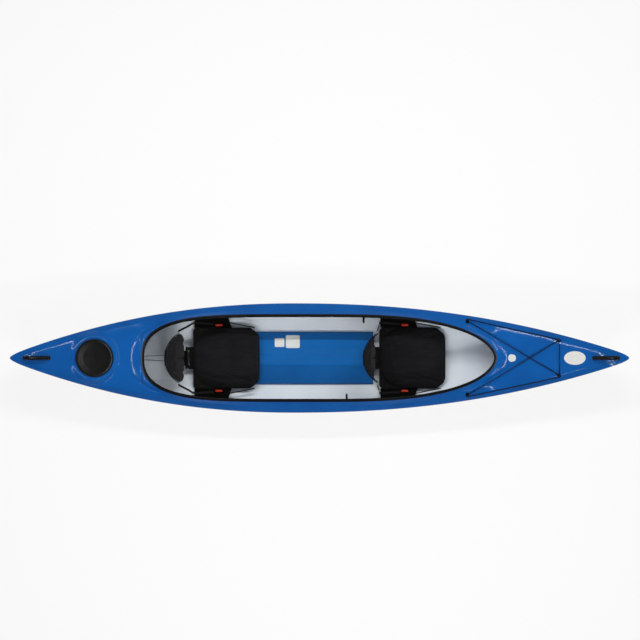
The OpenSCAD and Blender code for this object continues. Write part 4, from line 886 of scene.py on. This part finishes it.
for end in SEATS:
    hinge = box_mm("%s_hinge_pin" % end)[0].x + PIN_R
    shell_low = box_mm("%s_backrest_frame" % end)[0]
    sewn = Vector((shell_low.x, 0, 0)) + SEWN
    edge, between, clip = [wing_point(hinge, spot) for spot in (STRAP_EDGE, STRAP_MID, STRAP_CLIP)]
    route = [sewn, sewn.lerp(edge, 0.33), sewn.lerp(edge, 0.67), edge, between, clip]
    strap = webbing("%s_straps" % end, smooth_path(route, 5), WEB, None)
    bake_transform(strap)
    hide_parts("%s_backrest_straps" % end)
    leg_top = wing_point(hinge, LEG_TOP)
    leg_end = Vector((hinge, 0, 0)) + LEG_END
    route = [leg_top, wing_point(hinge, LEG_NEXT), leg_top.lerp(leg_end, 0.6), leg_end]
    legs = webbing("%s_leg_webbing" % end, smooth_path(route), THIN_WEB, "hull")
    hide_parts("%s_leg_straps" % end)

cord_low, cord_high = box_mm("rear_backrest_cords")
bm = bmesh.new()
for s in (1, -1):
    fore = Vector((cord_high.x, s * CORD_FORE_Y, CORD_Z))
    aft = Vector((cord_low.x, s * CORD_AFT_Y, CORD_Z))
    shares = [i / CORD_STEPS for i in range(CORD_STEPS + 1)]
    hanging = [fore.lerp(aft, t) - Vector((0, 0, CORD_SAG * sin(pi * t))) for t in shares]
    sweep(bm, hanging, circle(CORD, 12))
cords = piece("back_cords", bm, FINISH["black_cord"], None)
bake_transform(cords)
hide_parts("rear_backrest_cords")
print("straps and cords made")

# %% [markdown]
# ## Bungee and carry handles
#
# The bungee runs from post to post over the foredeck and turns round each neck. Each
# carry handle is a cord through two eyes, with a thick grip that swells in the middle.

# %%
BUNGEE_R, POST_R, WRAP_GAP, RUN_LIFT = 3.0, 5.0, 0.8, 8.4
LAYERS = (7.4, 14.2)
FORE_POSTS_X = 1300.0


def middle(node, keep):
    points = [v.co / MM for v in frame["nodes"][node].data.vertices if keep(v.co)]
    return sum(points, Vector()) / len(points)


posts = []
for fore, s in ((True, 1), (False, 1), (True, -1), (False, -1)):
    posts.append(middle("deck_fitting_screws",
                        lambda c: (c.x > FORE_POSTS_X * MM) == fore and c.y * s > 0))


def post_point(j, angle, radius, layer=0):
    foot = posts[j]
    normal = deck_normal(foot.x, foot.y)
    ahead = (Vector((1, 0, 0)) - normal * normal.x).normalized()
    foot = Vector((foot.x, foot.y, deck_z(foot.x, foot.y)))
    turn = radians(angle)
    return foot + normal * LAYERS[layer] + (ahead * cos(turn) + normal.cross(ahead) * sin(turn)) * radius


def over_deck(a, b, hump=0.0, steps=24):
    """A taut run between two posts, kept clear of the deck."""
    path = [a]
    for i in range(1, steps):
        t = i / steps
        p = a.lerp(b, t)
        low = deck_z(p.x, p.y) + RUN_LIFT
        near = 1 - sin(pi * t)
        path.append(Vector((p.x, p.y, max(low + hump * sin(pi * t) ** 4, mix(p.z, low, 1 - near ** 2)))))
    return path + [b]


WRAP, TIE = POST_R + BUNGEE_R + WRAP_GAP, POST_R + 2.4
CROSSING = 2 * BUNGEE_R + 1.5
line = over_deck(post_point(0, 160, TIE), post_point(1, 80, WRAP))
line += [post_point(1, a, WRAP) for a in range(105, 271, 20)]
line += over_deck(post_point(1, 285, WRAP), post_point(2, 75, WRAP))
line += [post_point(2, a, WRAP) for a in range(55, -66, -20)]
line += over_deck(post_point(2, 265, WRAP), post_point(3, 280, WRAP))
line += [post_point(3, a, WRAP) for a in range(255, 94, -20)]
line += over_deck(post_point(3, 75, WRAP), post_point(0, 225, TIE), CROSSING)
bm = bmesh.new()
sweep(bm, line, circle(BUNGEE_R, 12))
sweep(bm, over_deck(post_point(0, 290, TIE), post_point(2, 70, TIE, 1)), circle(BUNGEE_R, 12))
bungee = piece("deck_line", bm, FINISH["black_cord"], "hull")
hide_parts("deck_bungee")

HANDLE_AXIS, HANDLE_RISE, LOOP_OUT, ARCH_POWER = 12.0, 28.0, 13.0, 0.85
HANDLE_CORD_R, GRIP_R, GRIP_TAPER, TAPER_POWER = 4.0, 14.0, 0.42, 5
CORD_ARCH, GRIP_ARCH = (24, 156), (40, 140)
# The cord's end at an eye: distances along the handle and up.
LOOP_END = ((8, 0), (0, 0), (-5, 0.6), (-10, 4))


def swelling(t):
    return circle(GRIP_R * (1 - GRIP_TAPER * abs(2 * t - 1) ** TAPER_POWER), 24)


for end in ("stern", "bow"):
    low, high = box_mm("%s_handle_anchors" % end)
    split = (low.x + high.x) / 2 * MM
    feet = []
    for fore in (False, True):
        x = middle("%s_handle_anchors" % end, lambda c: (c.x > split) == fore).x
        feet.append(Vector((x, 0, deck_z(x, 0) + HANDLE_AXIS)))
    along = (feet[1] - feet[0]).normalized()
    up = along.cross(Vector((0, 1, 0)))
    reach = (feet[1] - feet[0]).length / 2 + LOOP_OUT

    def arch(degrees):
        c, s = cos(radians(degrees)), sin(radians(degrees))
        out = -np.sign(c) * reach * abs(c) ** ARCH_POWER
        return (feet[0] + feet[1]) / 2 + along * out + up * (HANDLE_RISE - HANDLE_AXIS) * s ** ARCH_POWER

    def arch_path(span, steps):
        return [arch(mix(*span, i / steps)) for i in range(steps + 1)]

    def loop_end(foot, out):
        return [foot + out * a + up * b for a, b in LOOP_END]

    route = loop_end(feet[0], along) + arch_path(CORD_ARCH, 12) + loop_end(feet[1], -along)[::-1]
    bm = bmesh.new()
    sweep(bm, smooth_path(route, 4), circle(HANDLE_CORD_R), Vector((0, 1, 0)))
    cord = piece("%s_cord" % end, bm, FINISH["black_cord"], "%s_handle" % end)
    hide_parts("%s_handle_cord" % end)

    bm = bmesh.new()
    sweep(bm, arch_path(GRIP_ARCH, 32), swelling, Vector((0, 1, 0)))
    grip = piece("%s_grip" % end, bm, FINISH["black_rubber"], "%s_handle" % end, sharp=60)
    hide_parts("%s_handle_grip" % end)
print("bungee and handles made")

# %% [markdown]
# ## Bare plates
#
# Four thin plates are laid on the boat: an oval and a round one that follow the foredeck,
# and two small cards on the floor.

# %%
PLATE_POINTS, OVAL, CARD = 64, 2, 12
PLATE_EDGE, PLATE_TOP = 0.6, 0.7
# Each ring of a plate: share of the plate's size, and lift off the surface.
PLATE_RINGS = ((1.0, 0.05), (1.0, PLATE_EDGE), (0.9, PLATE_TOP), (0.5, PLATE_TOP), (0.02, PLATE_TOP))


def plate(name, centre, half, height, power):
    """A thin plate, oval with power 2 and squarer above, laid on a surface."""
    rings = []
    for share, lift in PLATE_RINGS:
        ring = []
        for i in range(PLATE_POINTS):
            turn = 2 * pi * i / PLATE_POINTS
            c, s = cos(turn), sin(turn)
            grow = share / (abs(c) ** power + abs(s) ** power) ** (1 / power)
            x, y = centre[0] + half[0] * grow * c, centre[1] + half[1] * grow * s
            ring.append(Vector((x, y, height(x, y) + lift)))
        rings.append(ring)
    bm = bmesh.new()
    rows = loft(bm, rings)
    cap(bm, rows[-1])
    return piece(name, bm, LABEL, "hull")


plate("bow_plate", (1759, 0), (74, 47), deck_z, OVAL)
plate("round_plate", (1326, 0), (27, 27), lambda x, y: deck_z(x, y) - collar(x, x - COCKPIT_FWD), OVAL)
plate("floor_card_small", (-275, 106), (33, 30), lambda x, y: panel_height(y, 1), CARD)
plate("floor_card", (-184, 113), (48, 44), lambda x, y: panel_height(y, 1), CARD)
print("plates made")

# %% [markdown]
# ## Light, floor and camera
#
# The boat stands on a white floor. Camera and glossy rays see the floor and the world as
# nearly plain white, and the floor keeps a share of the boat's shadow. Two long lamps, a
# small one at each corner and a dimmer white sky light the boat. The strip over each end
# acts on reflections only and draws the bright arcs on the deck. The camera looks
# straight down, as in the photograph's lower picture.

# %%
def white_to_camera(tree, light_shader, white_shader):
    path = add(tree, "ShaderNodeLightPath", {})
    seen = path.outputs["Is Camera Ray"]
    for ray in ("Is Glossy Ray", "Is Transmission Ray"):
        seen = combine(tree, "MAXIMUM", seen, path.outputs[ray])
    return add(tree, "ShaderNodeMixShader", {0: seen, 1: light_shader, 2: white_shader}).outputs["Shader"]


FLOOR_SIZE, FLOOR_DROP, SHADOW_SHARE, SKY_LIGHT = 40.0, 2.0, 0.2, 0.40
floor_material, tree, place = new_material("studio_floor")
matte = add(tree, "ShaderNodeBsdfDiffuse", {"Color": rgba("#e8e8e8")}).outputs["BSDF"]
plain = add(tree, "ShaderNodeEmission", {"Color": rgba("#ffffff"), "Strength": 1.0}).outputs["Emission"]
shaded = add(tree, "ShaderNodeMixShader", {0: SHADOW_SHARE, 1: plain, 2: matte}).outputs["Shader"]
add(tree, "ShaderNodeOutputMaterial", {"Surface": white_to_camera(tree, matte, shaded)})
bm = bmesh.new()
bmesh.ops.create_grid(bm, x_segments=1, y_segments=1, size=FLOOR_SIZE / 2)
ground = piece("studio_floor", bm, floor_material, None)
ground.location.z = -FLOOR_DROP * MM

world = bpy.data.worlds.new("studio")
bpy.context.scene.world = world
world.use_nodes = True
tree = world.node_tree
tree.nodes.clear()
sky, plain = [
    add(tree, "ShaderNodeBackground", {"Color": rgba("#ffffff"), "Strength": strength}).outputs["Background"]
    for strength in (SKY_LIGHT, 1.0)]
add(tree, "ShaderNodeOutputWorld", {"Surface": white_to_camera(tree, sky, plain)})


def lamp(name, place, target, size, power):
    """An area lamp: place, target and size in metres, power in watts."""
    light = bpy.data.lights.new(name, "AREA")
    light.shape, light.size, light.size_y, light.energy = "RECTANGLE", size[0], size[1], power
    obj = bpy.data.objects.new(name, light)
    obj.location = place
    obj.rotation_euler = (Vector(target) - Vector(place)).to_track_quat("-Z", "Y").to_euler()
    bpy.context.scene.collection.objects.link(obj)
    return obj


lamp("key", (0.2, 2.2, 3.6), (0.2, 0, 0.2), (4.4, 0.08), 93)
lamp("fill", (0.3, -2.8, 3.2), (0, 0, 0.2), (2.6, 0.12), 56)
STRIP_X = 1.93
for name, end in (("stern_strip", -1), ("bow_strip", 1)):
    strip = lamp(name, (STRIP_X * end, 0, 3.0), (STRIP_X * end, 0, 0), (0.17, 3.0), 95)
    strip.visible_diffuse = False
    for side in (-1, 1):
        lamp("%s_%d" % (name, side), (2.4 * end, 1.9 * side, 3.0), (1.2 * end, 0, 0.3), (0.4, 0.4), 10)

PHOTO_SIDE, BOAT_PIXELS = 640, 619.5
BOAT_CENTRE = (319.5, 358.0)
EYE_Z, SIGHT = 6, 50
METRES_PER_PIXEL = 2 * HALF_L * MM / BOAT_PIXELS
camera = bpy.data.cameras.new("camera")
camera.type = "ORTHO"
camera.ortho_scale = PHOTO_SIDE * METRES_PER_PIXEL
camera.clip_end = SIGHT
eye = bpy.data.objects.new("camera", camera)
eye.location = ((PHOTO_SIDE / 2 - BOAT_CENTRE[0]) * METRES_PER_PIXEL,
                (BOAT_CENTRE[1] - PHOTO_SIDE / 2) * METRES_PER_PIXEL, EYE_Z)
bpy.context.scene.collection.objects.link(eye)
bpy.context.scene.camera = eye
bpy.context.scene.view_settings.view_transform = "Standard"
